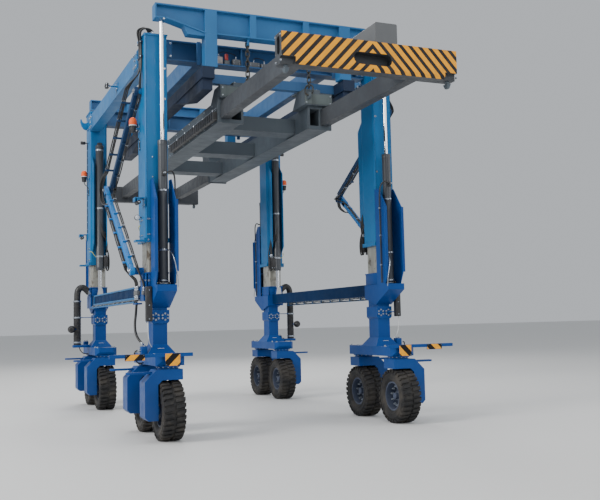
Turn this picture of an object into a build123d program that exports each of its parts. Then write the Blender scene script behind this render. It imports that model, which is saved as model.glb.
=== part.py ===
"""Straddle carrier: four telescopic legs on steered wheel pairs carry an upper frame, and a lifting
frame raised by the leg cylinders carries a telescopic spreader on chains.

Millimetres. Z = 0 is the ground, X runs across the machine and Y along it, with the front at -Y. The
machine is the same about both middle planes, so each piece is drawn once, at +X +Y, and reflected.
"""
from build123d import *
import os
from math import atan2, degrees, hypot, sqrt

os.makedirs("parts", exist_ok=True)

# General clearances
running_gap = 0.1
seat_gap = 0.3
slide_gap = 6.0

# Stance of the machine
leg_x = 1885.0
leg_y = 2540.0
tandem_pitch = 1218.0

# Wheels
tyre_diameter = 850.0
tyre_width = 320.0
tyre_shoulder = 45.0
tyre_bead_step = 30.0
tyre_bead_height = 60.0
rim_diameter = 460.0
rim_wall = 22.0
rim_disc_thickness = 30.0
rim_disc_inset = 60.0
hub_diameter = 190.0
hub_length = 70.0
spindle_diameter = 110.0

# Wheel arms and their slewing rings
arm_gap = 22.0
arm_width = 190.0
arm_depth = 340.0
arm_foot_height = 300.0
arm_clearance = 10.0
arm_top_thickness = 150.0
arm_chamfer = 170.0
arm_bottom_chamfer = 50.0
arm_haunch = 60.0
arm_reach = 175.0
spindle_flange_diameter = 260.0
spindle_flange_thickness = 15.0
slew_diameter = 300.0
slew_height = 50.0
lever_width = 120.0
lever_thickness = 30.0
lever_out = 235.0
lever_inside = 160.0
lever_drop = 30.0
lever_hole = 40.0

# Bogie tables and columns of the lower legs
table_thickness = 150.0
table_width = 420.0
table_overhang = 190.0
table_corner = 70.0
table_underbevel = 60.0
column_width = 215.0
column_depth = 330.0
column_height = 790.0
flare_height = 140.0
flare_out = 105.0
boss_height = 200.0
boss_rise = 550.0
boss_thickness = 24.0
boss_ear = 28.0
pad_diameter = 126.0
pad_pitch = 140.0
pad_thickness = 8.0

# Head blocks and guide plates
head_height = 220.0
head_width = 292.0
head_set_back = 10.0
corbel_drop = 110.0
guide_gap = 260.0
guide_thickness = 16.0
guide_depth = 380.0
guide_height = 1580.0
guide_lap = 20.0
guide_slope = 330.0
guide_crest = 130.0
guide_heel = 210.0
guide_heel_depth = 150.0
guide_rib_out = 30.0
guide_rib_thickness = 14.0

# Bumper bars of the front legs
bumper_bar = 50.0
bumper_rise = 30.0
bumper_inner_x = 1580.0
bumper_outer_x = 2760.0
bumper_plate_height = 90.0
bumper_plate_thickness = 8.0
bumper_plate_inner_x = 2270.0
bumper_plate_outer_x = 2550.0
corner_plate_inner_x = 1765.0
corner_plate_outer_x = 1985.0
corner_plate_height = 180.0

# Masts and inner posts
mast_x = 1930.0
mast_width = 350.0
mast_depth = 460.0
mast_wall = 20.0
mast_corner = 38.0
mast_top = 6040.0
post_exposed = 650.0
post_wall_gap = 12.0
post_corner = 40.0
post_overlap = 1500.0
collar_height = 60.0
collar_out = 25.0
collar_bracket_out = 150.0
collar_bracket_depth = 150.0
collar_bracket_height = 30.0
mast_cap_height = 25.0
mast_cap_out = 12.0

# Outboard lift cylinders
cylinder_y = 2945.0
lift_barrel_diameter = 136.0
lift_barrel_wall = 14.0
lift_barrel_length = 2470.0
lift_barrel_foot = 60.0
lift_eye_width = 60.0
lift_eye_height = 50.0
lift_gland_length = 90.0
band_thickness = 8.0
band_height = 28.0
band_rises = (420.0, 1180.0)
lift_rod_diameter = 62.0
lift_rod_inside = 1010.0

# Inboard raise cylinders
raise_barrel_diameter = 160.0
raise_barrel_wall = 16.0
raise_barrel_drop = 110.0
raise_barrel_length = 2240.0
raise_cap_height = 60.0
raise_gland_length = 70.0
raise_bracket_width = 120.0
raise_bracket_height = 80.0
raise_bracket_rise = 500.0
raise_bracket_fall = 300.0
raise_rod_diameter = 80.0
raise_rod_inside = 700.0
raise_standoff = 30.0
raise_foot_width = 130.0
raise_foot_height = 150.0
cheek_depth = 190.0
cheek_rise = 230.0
cheek_length = 2000.0
cheek_thickness = 16.0

# Upper frame
side_beam_height = 300.0
side_beam_width = 200.0
side_beam_drop = 110.0
cross_beam_over = 40.0
cross_beam_height = 320.0
cross_beam_width = 240.0
cross_beam_y = 2360.0
flange_thickness = 22.0
web_thickness = 16.0
stiffener_thickness = 14.0
inner_beam_x = 1100.0
inner_beam_width = 160.0
inner_beam_height = 280.0
guide_post_x = 1180.0
guide_post_width = 60.0
guide_post_depth = 50.0
guide_post_length = 375.0

# Lifting frame
lift_beam_over = 10.0
lift_beam_past = 115.0
lift_beam_depth = 385.0
lift_beam_end_depth = 225.0
lift_beam_seat = 190.0
lift_flange_width = 200.0
lift_web = 40.0
lift_stiffener_x = 450.0
lift_stiffener_width = 100.0
haunch_end = 1560.0
haunch_thickness = 40.0
haunch_width = 160.0
haunch_bevel = 60.0
dropper_x = 1135.0
dropper_width = 190.0
dropper_depth = 200.0
hanger_clear = 220.0
hanger_height = 180.0
hanger_offset = 55.0
hanger_width = 200.0
hanger_foot_drop = 170.0
hanger_foot_end = 2990.0
hanger_foot_inner = 2150.0
hanger_foot_step = 1350.0
hanger_foot_inset = 20.0
hanger_tie_y = 2610.0
hanger_tie_width = 120.0
hanger_tie_height = 150.0

# Chains and their lugs
chain_x = 520.0
chain_drop = 702.0
chain_bar = 32.0
bar_bevel = 9.0
link_width = 80.0
link_nest = 0.5
ring_radius = 90.0
lug_thickness = 36.0
lug_hole = 45.0
lug_half = 52.0

# Spreader
girder_set_back = 145.0
girder_x = 760.0
girder_width = 380.0
girder_height = 360.0
girder_collar = 18.0
girder_collar_length = 40.0
cell_offset = 90.0
pad_length = 60.0
pedestal_height = 250.0
pedestal_low_height = 200.0
pedestal_set_back = 60.0
pedestal_length = 520.0
pedestal_slope = 195.0
pedestal_inner_x = 462.0
pedestal_step_x = 738.0
pedestal_over_ring = 22.0
arm_beam_width = 150.0
arm_beam_height = 260.0
arm_beam_inside = 1150.0
spreader_tie_y = 2000.0
spreader_tie_length = 400.0
spreader_tie_rise = 30.0
spreader_tie_height = 240.0

# End beams
corner_pitch_y = 5992.5
corner_pitch_x = 1129.5
end_beam_width = 2438.0
end_beam_height = 380.0
end_beam_drop = 55.0
end_beam_depth = 215.0
crease_rise = 40.0
crease_in = 26.0
corner_step_width = 180.0
corner_step_rise = 85.0
corner_step_depth = 60.0
slot_length = 530.0
slot_height = 150.0
slot_depth = 120.0
slot_rise = 155.0
side_hole_height = 230.0
side_hole_width = 90.0
side_hole_depth = 80.0
twistlock_shank = 40.0
twistlock_shank_diameter = 58.0
twistlock_head = 55.0
twistlock_length = 100.0
twistlock_width = 60.0
twistlock_taper = 0.55
box_inner_x = 40.0
box_outer_x = 350.0
box_length = 850.0
box_height = 255.0
box_corner = 18.0

# Hose carrier along the left spreader girder
carrier_width = 80.0
carrier_height = 120.0
carrier_rise = 40.0
carrier_set_back = 60.0
carrier_pitch = 120.0
carrier_groove = 30.0
carrier_groove_depth = 12.0

# Lower side beams
tie_beam_x = 1960.0
tie_beam_rise = 20.0
tie_beam_height = 200.0
tie_beam_width = 220.0

# Folding hose arms
hose_pivot_y = 2540.0
upper_pivot_rise = 2330.0
lower_pivot_rise = 230.0
elbow_y = 430.0
elbow_rise = 1535.0
hose_arm_width = 80.0
hose_arm_thickness = 60.0
hose_arm_clearance = 8.0
hose_pin_diameter = 40.0
hose_boss_diameter = 110.0
hose_bracket_length = 30.0
hose_plate_thickness = 20.0
elbow_eye_diameter = 130.0
elbow_hole_diameter = 84.0
elbow_pin_diameter = 32.0
clip_count = 5
clip_width = 26.0
hose_diameter = 28.0
hose_pitch = 43.0
outer_hose_count = 3
inner_hose_count = 2
hose_start = 170.0
hose_stop = 400.0

# Beacons on the masts and work lamps on the side beams
beacon_reach = 110.0
beacon_y = 2400.0
beacon_rise = 1750.0
beacon_base_diameter = 110.0
beacon_base_height = 70.0
beacon_dome_diameter = 96.0
beacon_dome_height = 120.0
beacon_plate = 25.0
beacon_crown = 30.0
lamp_y = 640.0
lamp_arm = 24.0
lamp_reach = 150.0
lamp_size = 90.0
lamp_depth = 60.0
lamp_corner = 12.0


# Heights, counted up from the ground
wheel_z = tyre_diameter / 2
arm_under = tyre_diameter + arm_clearance
arm_top = arm_under + arm_top_thickness
table_bottom = arm_top + slew_height
table_top = table_bottom + table_thickness
column_top = table_top + column_height
head_top = column_top + head_height
mast_foot = head_top + post_exposed
lift_barrel_bottom = head_top + lift_eye_height
lift_barrel_top = lift_barrel_bottom + lift_barrel_length
raise_barrel_bottom = mast_foot - raise_barrel_drop
raise_barrel_top = raise_barrel_bottom + raise_barrel_length
tie_beam_top = head_top + tie_beam_rise
upper_pivot_z = mast_foot + upper_pivot_rise
lower_pivot_z = head_top + lower_pivot_rise
elbow_z = lower_pivot_z + elbow_rise

# Heights, counted from the tops of the masts
side_beam_top = mast_top - side_beam_drop
cross_beam_top = mast_top + cross_beam_over
cross_beam_bottom = cross_beam_top - cross_beam_height
lift_beam_bottom = mast_top + lift_beam_over
lift_beam_top = lift_beam_bottom + lift_beam_depth
lift_beam_end_bottom = lift_beam_top - lift_beam_end_depth
hanger_top = cross_beam_bottom - hanger_clear
hanger_bottom = hanger_top - hanger_height
ring_z = lift_beam_bottom - chain_drop
pedestal_top = ring_z + pedestal_over_ring
girder_top = pedestal_top - pedestal_height
girder_bottom = girder_top - girder_height
arm_z = girder_bottom + girder_height / 2
end_beam_bottom = girder_bottom - end_beam_drop
end_beam_top = end_beam_bottom + end_beam_height

# Seats of the chains: a bar curves away from its lug's faces, so it stands off by that much
bar_corner = hypot(chain_bar / 2, chain_bar / 2 - bar_bevel)
link_radius = link_width / 2
link_inner = link_radius - chain_bar / 2
ring_inner = ring_radius - chain_bar / 2
link_bow = link_inner - sqrt(link_inner**2 - (lug_thickness / 2) ** 2)
ring_bow = ring_inner - sqrt(ring_inner**2 - (lug_thickness / 2) ** 2)
top_hole_z = lift_beam_bottom - lug_half
link_top_z = top_hole_z - lug_hole / 2 + bar_corner + link_bow + seat_gap
ring_hole_z = ring_z - ring_radius + bar_corner + ring_bow + seat_gap - lug_hole / 2

# Places across and along
arm_inner_face = leg_x + tyre_width / 2 + arm_gap
arm_outer_face = arm_inner_face + arm_width
table_end = leg_y + tandem_pitch / 2 + table_overhang
mast_inner = leg_y - mast_depth / 2
mast_outer = leg_y + mast_depth / 2
mast_outboard = mast_x + mast_width / 2
mast_inboard = mast_x - mast_width / 2
post_width = mast_width - 2 * (mast_wall + post_wall_gap)
post_depth = mast_depth - 2 * (mast_wall + post_wall_gap)
guide_start = mast_outer + slide_gap
guide_end = guide_start + guide_depth
raise_y = mast_inner - raise_standoff - raise_barrel_diameter / 2
lift_beam_half = leg_x + lift_beam_past
lift_beam_flat_half = dropper_x + dropper_width / 2
hanger_x = dropper_x + hanger_offset
hanger_end = cylinder_y + dropper_depth / 2
end_beam_inner = corner_pitch_y - end_beam_depth / 2
end_beam_outer = corner_pitch_y + end_beam_depth / 2
girder_half = cylinder_y - girder_set_back
pedestal_end = cylinder_y - pedestal_set_back
carrier_end = girder_half - carrier_set_back
side_beam_outboard = mast_outboard
upper_arm_x = mast_outboard + collar_out + hose_bracket_length
lower_arm_x = upper_arm_x + hose_arm_thickness + hose_arm_clearance


def block(x0, x1, y0, y1, z0, z1):
    """A plain cuboid between two corners."""
    size = (x1 - x0, y1 - y0, z1 - z0)
    return Pos((x0 + x1) / 2, (y0 + y1) / 2, (z0 + z1) / 2) * Box(*size)


def tube_z(x, y, z0, z1, outer, inner=0.0):
    """An upright round bar, or a tube where an inner diameter is given."""
    height = z1 - z0
    place = Pos(x, y, (z0 + z1) / 2)
    bar = place * Cylinder(outer / 2, height)
    if inner > 0:
        bar = bar - place * Cylinder(inner / 2, height)
    return bar


def bar_x(x0, x1, y, z, diameter):
    """A round bar across the machine."""
    return Pos((x0 + x1) / 2, y, z) * Rot(0, 90, 0) * Cylinder(diameter / 2, x1 - x0)


def plate_yz(x0, x1, *points):
    """A plate between x0 and x1 with an outline in Y and Z."""
    with BuildSketch(Plane.YZ.offset(x0)) as outline:
        with BuildLine():
            Polyline(*points, close=True)
        make_face()
    return extrude(outline.sketch, x1 - x0)


def plate_xz(y0, y1, *points):
    """A plate between y0 and y1 with an outline in X and Z."""
    with BuildSketch(Plane.XZ.offset(-y1)) as outline:
        with BuildLine():
            Polyline(*points, close=True)
        make_face()
    return extrude(outline.sketch, y1 - y0)


def quadrant(shape, sx, sy):
    """The +X +Y shape reflected to the leg on side sx and end sy."""
    if sx < 0:
        shape = mirror(shape, about=Plane.YZ)
    if sy < 0:
        shape = mirror(shape, about=Plane.XZ)
    return shape


def save(name, *shapes):
    """Writes one node, whose shapes stay separate solids."""
    solids = []
    for shape in shapes:
        solids.extend(shape.solids())
    export_step(Compound(children=solids), f"parts/{name}.step")


def tyre(y):
    """A heavy tyre: a revolved section with bevelled shoulders and a bead seat on the rim."""
    r, w = tyre_diameter / 2, tyre_width / 2
    bead = rim_diameter / 2 + seat_gap
    with BuildSketch(Plane.XZ) as section:
        with BuildLine():
            Polyline(
                (-w + tyre_bead_step, bead),
                (-w, bead + tyre_bead_height),
                (-w, r),
                (w, r),
                (w, bead + tyre_bead_height),
                (w - tyre_bead_step, bead),
                close=True,
            )
        make_face()
        chamfer(section.vertices().group_by(Axis.Z)[-1], tyre_shoulder)
    ring = revolve(section.sketch, Axis.X, 360)
    return Pos(leg_x, y, wheel_z) * ring


def rim(y):
    """A dished wheel centre on a round rim, bored for the spindle."""
    w = tyre_width / 2 - tyre_bead_step
    outer = rim_diameter / 2
    bore = spindle_diameter / 2 + running_gap
    hub = hub_diameter / 2
    disc0 = w - rim_disc_inset - rim_disc_thickness
    disc1 = w - rim_disc_inset
    hub0 = w - rim_disc_inset - hub_length
    with BuildSketch(Plane.XZ) as section:
        with BuildLine():
            Polyline(
                (-w, outer),
                (w, outer),
                (w, outer - rim_wall),
                (disc1, outer - rim_wall),
                (disc1, hub),
                (w, hub),
                (w, bore),
                (hub0, bore),
                (hub0, hub),
                (disc0, hub),
                (disc0, outer - rim_wall),
                (-w, outer - rim_wall),
                close=True,
            )
        make_face()
    ring = revolve(section.sketch, Axis.X, 360)
    return Pos(leg_x, y, wheel_z) * ring


def wheel_arm(y):
    """An upside-down L round the tyre, with its spindle, slewing ring and bored steering lever."""
    x_end = leg_x - arm_reach
    x0, x1 = arm_inner_face, arm_outer_face
    half = arm_depth / 2
    body = plate_xz(
        -half,
        half,
        (x_end, arm_top),
        (x1 - arm_chamfer, arm_top),
        (x1, arm_top - arm_chamfer),
        (x1, arm_foot_height + arm_bottom_chamfer),
        (x1 - arm_bottom_chamfer, arm_foot_height),
        (x0, arm_foot_height),
        (x0, arm_under - arm_haunch),
        (x0 - arm_haunch, arm_under),
        (x_end, arm_under),
    )
    spindle_end = leg_x + tyre_width / 2 - tyre_bead_step - rim_disc_inset - hub_length
    body = body + bar_x(spindle_end, x0, 0, wheel_z, spindle_diameter)
    body = body + bar_x(x0 - spindle_flange_thickness, x0, 0, wheel_z, spindle_flange_diameter)
    body = body + tube_z(leg_x, 0, arm_top, table_bottom, slew_diameter)
    lever_z = arm_top - lever_drop - lever_thickness
    lever_length = lever_inside + lever_out
    with BuildSketch(Plane.XY.offset(lever_z)) as lever:
        with Locations((x1 - lever_inside + lever_length / 2, 0)):
            SlotOverall(lever_length, lever_width)
        with Locations((x1 + lever_out - lever_width / 2, 0)):
            Circle(lever_hole / 2, mode=Mode.SUBTRACT)
    return Pos(0, y, 0) * (body + extrude(lever.sketch, lever_thickness))


def table():
    """The bogie table over a wheel pair, with bevelled corners in plan and bevelled lower ends."""
    z0 = table_bottom + seat_gap
    x0, x1 = leg_x - table_width / 2, leg_x + table_width / 2
    y0, y1 = 2 * leg_y - table_end, table_end
    side = plate_yz(
        x0,
        x1,
        (y0 + table_underbevel, z0),
        (y1 - table_underbevel, z0),
        (y1, z0 + table_underbevel),
        (y1, table_top),
        (y0, table_top),
        (y0, z0 + table_underbevel),
    )
    with BuildSketch(Plane.XY.offset(z0)) as plan:
        with Locations((leg_x, leg_y)):
            Rectangle(table_width, y1 - y0)
        chamfer(plan.vertices(), table_corner)
    return side & extrude(plan.sketch, table_top - z0)


def column():
    """The box column, flared at its foot, with an eared boss that has two round pads on each end face."""
    post = block(
        leg_x - column_width / 2,
        leg_x + column_width / 2,
        leg_y - column_depth / 2,
        leg_y + column_depth / 2,
        table_top,
        column_top,
    )
    with BuildSketch(Plane.XY.offset(table_top)) as foot:
        with Locations((leg_x, leg_y)):
            Rectangle(column_width + 2 * flare_out, column_depth + 2 * flare_out)
    with BuildSketch(Plane.XY.offset(table_top + flare_height)) as waist:
        with Locations((leg_x, leg_y)):
            Rectangle(column_width, column_depth)
    flare = loft([foot.sketch, waist.sketch])
    boss_z = table_top + boss_rise
    half_depth = column_depth / 2 + boss_thickness
    x_ear = column_width / 2 + boss_ear
    boss = plate_xz(
        leg_y - half_depth,
        leg_y + half_depth,
        (leg_x - x_ear, boss_z - boss_height / 2 + boss_ear),
        (leg_x - x_ear + boss_ear, boss_z - boss_height / 2),
        (leg_x + x_ear - boss_ear, boss_z - boss_height / 2),
        (leg_x + x_ear, boss_z - boss_height / 2 + boss_ear),
        (leg_x + x_ear, boss_z + boss_height / 2),
        (leg_x - x_ear, boss_z + boss_height / 2),
    )
    body = post + flare + boss
    pad_half = half_depth + pad_thickness
    for side in (-1, 1):
        place = Pos(leg_x + side * pad_pitch / 2, leg_y, boss_z) * Rot(90, 0, 0)
        body = body + place * Cylinder(pad_diameter / 2, 2 * pad_half)
    return body


def head():
    """The head block on the column, with a corbel that reaches out under the lift cylinder."""
    y0, y1 = mast_inner + head_set_back, guide_end
    y_column = leg_y + column_depth / 2
    x0, x1 = leg_x - head_width / 2, leg_x + head_width / 2
    body = plate_yz(
        x0,
        x1,
        (y0, column_top),
        (y_column, column_top - corbel_drop),
        (y1, head_top - guide_lap - guide_heel_depth / 2),
        (y1, head_top),
        (y0, head_top),
    )
    outboard = block(x1, mast_outboard - head_set_back, y0, mast_outer, column_top, head_top)
    return body + outboard


def guide_plates():
    """The two tall plates in front of the mast, with a slanted crest, a heel bevel and edge ribs."""
    z0 = head_top - guide_lap
    z1 = head_top + guide_height
    plates = []
    for side in (-1, 1):
        x_in = leg_x + side * guide_gap / 2
        x_out = x_in + side * guide_thickness
        plate = plate_yz(
            min(x_in, x_out),
            max(x_in, x_out),
            (guide_start, z0 - guide_heel_depth / 2),
            (guide_end - guide_heel_depth, z0 - guide_heel_depth / 2),
            (guide_end, z0 + guide_heel),
            (guide_end, z1 - guide_slope),
            (guide_start + guide_crest, z1),
            (guide_start, z1),
        )
        x_rib = x_out + side * guide_rib_out
        rib = block(
            min(x_out, x_rib),
            max(x_out, x_rib),
            guide_end - guide_rib_thickness,
            guide_end,
            z0 + guide_heel,
            z1 - guide_slope,
        )
        plates.append(plate + rib)
    return plates


def hose_pivot(z, arm_x, wall_x):
    """A round boss on the frame at wall_x with the pin of the hose arm whose inner face is at arm_x."""
    boss = bar_x(wall_x, arm_x - running_gap, hose_pivot_y, z, hose_boss_diameter)
    pin = bar_x(wall_x, arm_x + hose_arm_thickness, hose_pivot_y, z, hose_pin_diameter)
    return boss + pin


def lower_hose_bracket():
    """The plate on the head block that carries the pivot of the lower hose arm."""
    wall = mast_outboard - head_set_back
    half = hose_boss_diameter / 2
    plate = plate_yz(
        wall,
        wall + hose_plate_thickness,
        (hose_pivot_y - 2 * half, column_top),
        (hose_pivot_y + 2 * half, column_top),
        (hose_pivot_y + half, lower_pivot_z),
        (hose_pivot_y - half, lower_pivot_z),
    )
    return plate + hose_pivot(lower_pivot_z, lower_arm_x, wall)


def bumper():
    """The bar on the end of a front leg's table, with a hanging plate and a plate on the table's corner."""
    y0, y1 = table_end, table_end + bumper_bar
    top = table_top + bumper_rise
    bar = block(bumper_inner_x, bumper_outer_x, y0, y1, top - bumper_bar, top)
    hanging = block(
        bumper_plate_inner_x,
        bumper_plate_outer_x,
        y1,
        y1 + bumper_plate_thickness,
        top - bumper_plate_height,
        top,
    )
    corner = block(
        corner_plate_inner_x,
        corner_plate_outer_x,
        y1,
        y1 + bumper_plate_thickness,
        top - corner_plate_height,
        top,
    )
    return bar + hanging + corner


def leg_base(front):
    """A lower leg as welded: table, column, head block and guide plates."""
    base = table() + column() + head()
    for plate in guide_plates():
        base = base + plate
    if front:
        base = base + lower_hose_bracket() + bumper()
    return base


def inner_post():
    """The greased post that stands on the head and slides in the mast."""
    with BuildSketch(Plane.XY.offset(head_top)) as section:
        with Locations((mast_x, leg_y)):
            RectangleRounded(post_width, post_depth, post_corner)
    return extrude(section.sketch, mast_foot + post_overlap - head_top)


def mast(front):
    """The outer mast: a round-cornered box tube with a foot collar, wear pads, a cap and cheeks."""
    with BuildSketch(Plane.XY.offset(mast_foot)) as section:
        with Locations((mast_x, leg_y)):
            RectangleRounded(mast_width, mast_depth, mast_corner)
            Rectangle(mast_width - 2 * mast_wall, mast_depth - 2 * mast_wall, mode=Mode.SUBTRACT)
    body = extrude(section.sketch, mast_top - mast_foot)
    with BuildSketch(Plane.XY.offset(mast_foot)) as ring:
        with Locations((mast_x, leg_y)):
            Rectangle(mast_width + 2 * collar_out, mast_depth)
            RectangleRounded(
                post_width + 2 * seat_gap,
                post_depth + 2 * seat_gap,
                post_corner,
                mode=Mode.SUBTRACT,
            )
    body = body + extrude(ring.sketch, collar_height)
    body = body + block(
        mast_outboard,
        mast_outboard + collar_bracket_out,
        mast_outer - collar_bracket_depth,
        mast_outer,
        mast_foot,
        mast_foot + collar_bracket_height,
    )
    with BuildSketch(Plane.XY.offset(mast_top - mast_cap_height)) as cap:
        with Locations((mast_x + mast_cap_out / 2, leg_y)):
            RectangleRounded(mast_width + mast_cap_out, mast_depth + 2 * mast_cap_out, mast_corner)
    body = body + extrude(cap.sketch, mast_cap_height)
    z0 = mast_foot + cheek_rise
    z1 = z0 + cheek_length
    for side in (-1, 1):
        x_mid = mast_x + side * (mast_width / 2 - mast_corner - cheek_thickness / 2)
        body = body + plate_yz(
            x_mid - cheek_thickness / 2,
            x_mid + cheek_thickness / 2,
            (mast_inner, z0),
            (mast_inner - cheek_depth, z0 + cheek_depth),
            (mast_inner - cheek_depth, z1 - cheek_depth),
            (mast_inner, z1),
        )
    if front:
        body = body + hose_pivot(upper_pivot_z, upper_arm_x, mast_outboard)
    return body


def raise_barrel():
    """The barrel of the raise cylinder, closed at its top and carried on the mast by two brackets."""
    inner = raise_barrel_diameter - 2 * raise_barrel_wall
    z0, z1 = raise_barrel_bottom, raise_barrel_top
    body = tube_z(mast_x, raise_y, z0, z1, raise_barrel_diameter, inner)
    body = body + tube_z(mast_x, raise_y, z1, z1 + raise_cap_height, raise_barrel_diameter)
    gland_bore = raise_rod_diameter + 2 * running_gap
    body = body + tube_z(mast_x, raise_y, z0, z0 + raise_gland_length, inner, gland_bore)
    half = raise_bracket_width / 2
    for z in (z0 + raise_bracket_rise, z1 - raise_bracket_fall):
        bracket = block(mast_x - half, mast_x + half, raise_y, mast_inner, z, z + raise_bracket_height)
        hollow = tube_z(mast_x, raise_y, z, z + raise_bracket_height, raise_barrel_diameter)
        body = body + (bracket - hollow)
    return body


def raise_rod():
    """The chrome rod of the raise cylinder, with its foot on the lower side beam."""
    foot_top = tie_beam_top + raise_foot_height
    half = raise_foot_width / 2
    rod = tube_z(mast_x, raise_y, foot_top, raise_barrel_bottom + raise_rod_inside, raise_rod_diameter)
    foot = plate_xz(
        raise_y - half,
        raise_y + half,
        (mast_x - half, tie_beam_top),
        (mast_x + half, tie_beam_top),
        (mast_x + raise_rod_diameter / 2, foot_top),
        (mast_x - raise_rod_diameter / 2, foot_top),
    )
    return rod + foot


def lift_barrel():
    """The black barrel of the lift cylinder between the guide plates, with its eye, gland and bands."""
    inner = lift_barrel_diameter - 2 * lift_barrel_wall
    banded = lift_barrel_diameter + 2 * band_thickness
    z0, z1 = lift_barrel_bottom, lift_barrel_top
    body = tube_z(leg_x, cylinder_y, z0 + lift_barrel_foot, z1, lift_barrel_diameter, inner)
    body = body + tube_z(leg_x, cylinder_y, z0, z0 + lift_barrel_foot, lift_barrel_diameter)
    gland_bore = lift_rod_diameter + 2 * running_gap
    body = body + tube_z(leg_x, cylinder_y, z1 - lift_gland_length, z1, banded, gland_bore)
    for rise in band_rises:
        body = body + tube_z(leg_x, cylinder_y, z0 + rise, z0 + rise + band_height, banded, inner)
    half = lift_eye_width / 2
    body = body + block(leg_x - half, leg_x + half, cylinder_y - half, cylinder_y + half, head_top, z0)
    return body


def lift_rod():
    """The chrome rod that carries the end of the lifting beam."""
    z0 = lift_barrel_top - lift_rod_inside
    return tube_z(leg_x, cylinder_y, z0, lift_beam_end_bottom, lift_rod_diameter)


def lug(root, z_hole):
    """A bored lug, thin across the machine: its root block with a round end about the hole."""
    x0, x1 = chain_x - lug_thickness / 2, chain_x + lug_thickness / 2
    crown = bar_x(x0, x1, cylinder_y, z_hole, 2 * lug_half)
    return root + crown - bar_x(x0, x1, cylinder_y, z_hole, lug_hole)


def beam_lug():
    """The lug under the lifting beam that the upper chain link hangs in."""
    x0, x1 = chain_x - lug_thickness / 2, chain_x + lug_thickness / 2
    y0, y1 = cylinder_y - lug_half, cylinder_y + lug_half
    return lug(block(x0, x1, y0, y1, top_hole_z, lift_beam_bottom), top_hole_z)


def lifting_beam():
    """A welded I beam across the machine at +Y, deep in the middle and shallow at its tapered ends."""
    x_end, x_flat, x_seat = lift_beam_half, lift_beam_flat_half, lift_beam_half - lift_beam_seat
    z_top, z_end, z_low = lift_beam_top, lift_beam_end_bottom, lift_beam_bottom
    half = lift_flange_width / 2
    t = flange_thickness
    y0, y1 = cylinder_y - half, cylinder_y + half
    outer = plate_xz(
        y0,
        y1,
        (-x_end, z_top),
        (x_end, z_top),
        (x_end, z_end),
        (x_seat, z_end),
        (x_flat, z_low),
        (-x_flat, z_low),
        (-x_seat, z_end),
        (-x_end, z_end),
    )
    beam = outer
    for edge0, edge1 in ((y0, cylinder_y - lift_web / 2), (cylinder_y + lift_web / 2, y1)):
        beam = beam - plate_xz(
            edge0,
            edge1,
            (-x_end + t, z_top - t),
            (x_end - t, z_top - t),
            (x_end - t, z_end + t),
            (x_seat, z_end + t),
            (x_flat, z_low + t),
            (-x_flat, z_low + t),
            (-x_seat, z_end + t),
            (-x_end + t, z_end + t),
        )
    for side in (-1, 1):
        for x, width in ((dropper_x, dropper_width), (lift_stiffener_x, lift_stiffener_width)):
            x_mid = side * x
            beam = beam + block(x_mid - width / 2, x_mid + width / 2, y0, y1, z_low + t, z_top - t)
        beam = beam + quadrant(haunch(), side, 1) + quadrant(beam_lug(), side, 1)
    return beam


def haunch():
    """The plate under the lifting beam outside the dropper, trimmed to the sloping flange."""
    x_taper = lift_beam_half - lift_beam_seat - lift_beam_flat_half
    slope = (lift_beam_end_bottom - lift_beam_bottom) / x_taper
    half = haunch_width / 2
    return plate_xz(
        cylinder_y - half,
        cylinder_y + half,
        (lift_beam_flat_half, lift_beam_bottom - haunch_thickness),
        (haunch_end - haunch_bevel, lift_beam_bottom - haunch_thickness),
        (haunch_end, lift_beam_bottom + slope * (haunch_end - lift_beam_flat_half)),
        (lift_beam_flat_half, lift_beam_bottom),
    )


def dropper():
    """An upright from the lifting beam down to the hanger beam."""
    half_w, half_d = dropper_width / 2, dropper_depth / 2
    return block(
        dropper_x - half_w,
        dropper_x + half_w,
        cylinder_y - half_d,
        cylinder_y + half_d,
        hanger_top,
        lift_beam_bottom,
    )


def hanger_beam():
    """The long beam under the upper frame between the front and rear droppers, with stepped feet below."""
    x0, x1 = hanger_x - hanger_width / 2, hanger_x + hanger_width / 2
    body = block(x0, x1, -hanger_end, hanger_end, hanger_bottom, hanger_top)
    for end in (-1, 1):
        body = body + plate_yz(
            x0 + hanger_foot_inset,
            x1 - hanger_foot_inset,
            (end * hanger_foot_end, hanger_bottom),
            (end * hanger_foot_end, hanger_bottom - hanger_foot_drop),
            (end * hanger_foot_inner, hanger_bottom - hanger_foot_drop),
            (end * hanger_foot_step, hanger_bottom),
        )
    return body


def hanger_tie():
    """The cross member between the hanger beams at +Y."""
    x_end = hanger_x - hanger_width / 2
    y0, y1 = hanger_tie_y - hanger_tie_width / 2, hanger_tie_y + hanger_tie_width / 2
    return block(-x_end, x_end, y0, y1, hanger_top - hanger_tie_height, hanger_top)


def cross_beam():
    """The fixed I beam between the masts at +Y, with web stiffeners and two guide posts outside it."""
    x_end = mast_inboard
    z0, z1 = cross_beam_bottom, cross_beam_top
    t, w = flange_thickness, web_thickness / 2
    y0, y1 = cross_beam_y - cross_beam_width / 2, cross_beam_y + cross_beam_width / 2
    body = plate_yz(
        -x_end,
        x_end,
        (y0, z0),
        (y1, z0),
        (y1, z0 + t),
        (cross_beam_y + w, z0 + t),
        (cross_beam_y + w, z1 - t),
        (y1, z1 - t),
        (y1, z1),
        (y0, z1),
        (y0, z1 - t),
        (cross_beam_y - w, z1 - t),
        (cross_beam_y - w, z0 + t),
        (y0, z0 + t),
    )
    half = stiffener_thickness / 2
    for x in (-guide_post_x, -lift_stiffener_x, lift_stiffener_x, guide_post_x):
        body = body + block(x - half, x + half, y0, y1, z0 + t, z1 - t)
    for x in (-guide_post_x, guide_post_x):
        body = body + block(
            x - guide_post_width / 2,
            x + guide_post_width / 2,
            y1,
            y1 + guide_post_depth,
            z1 - guide_post_length,
            z1,
        )
    return body


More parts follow.
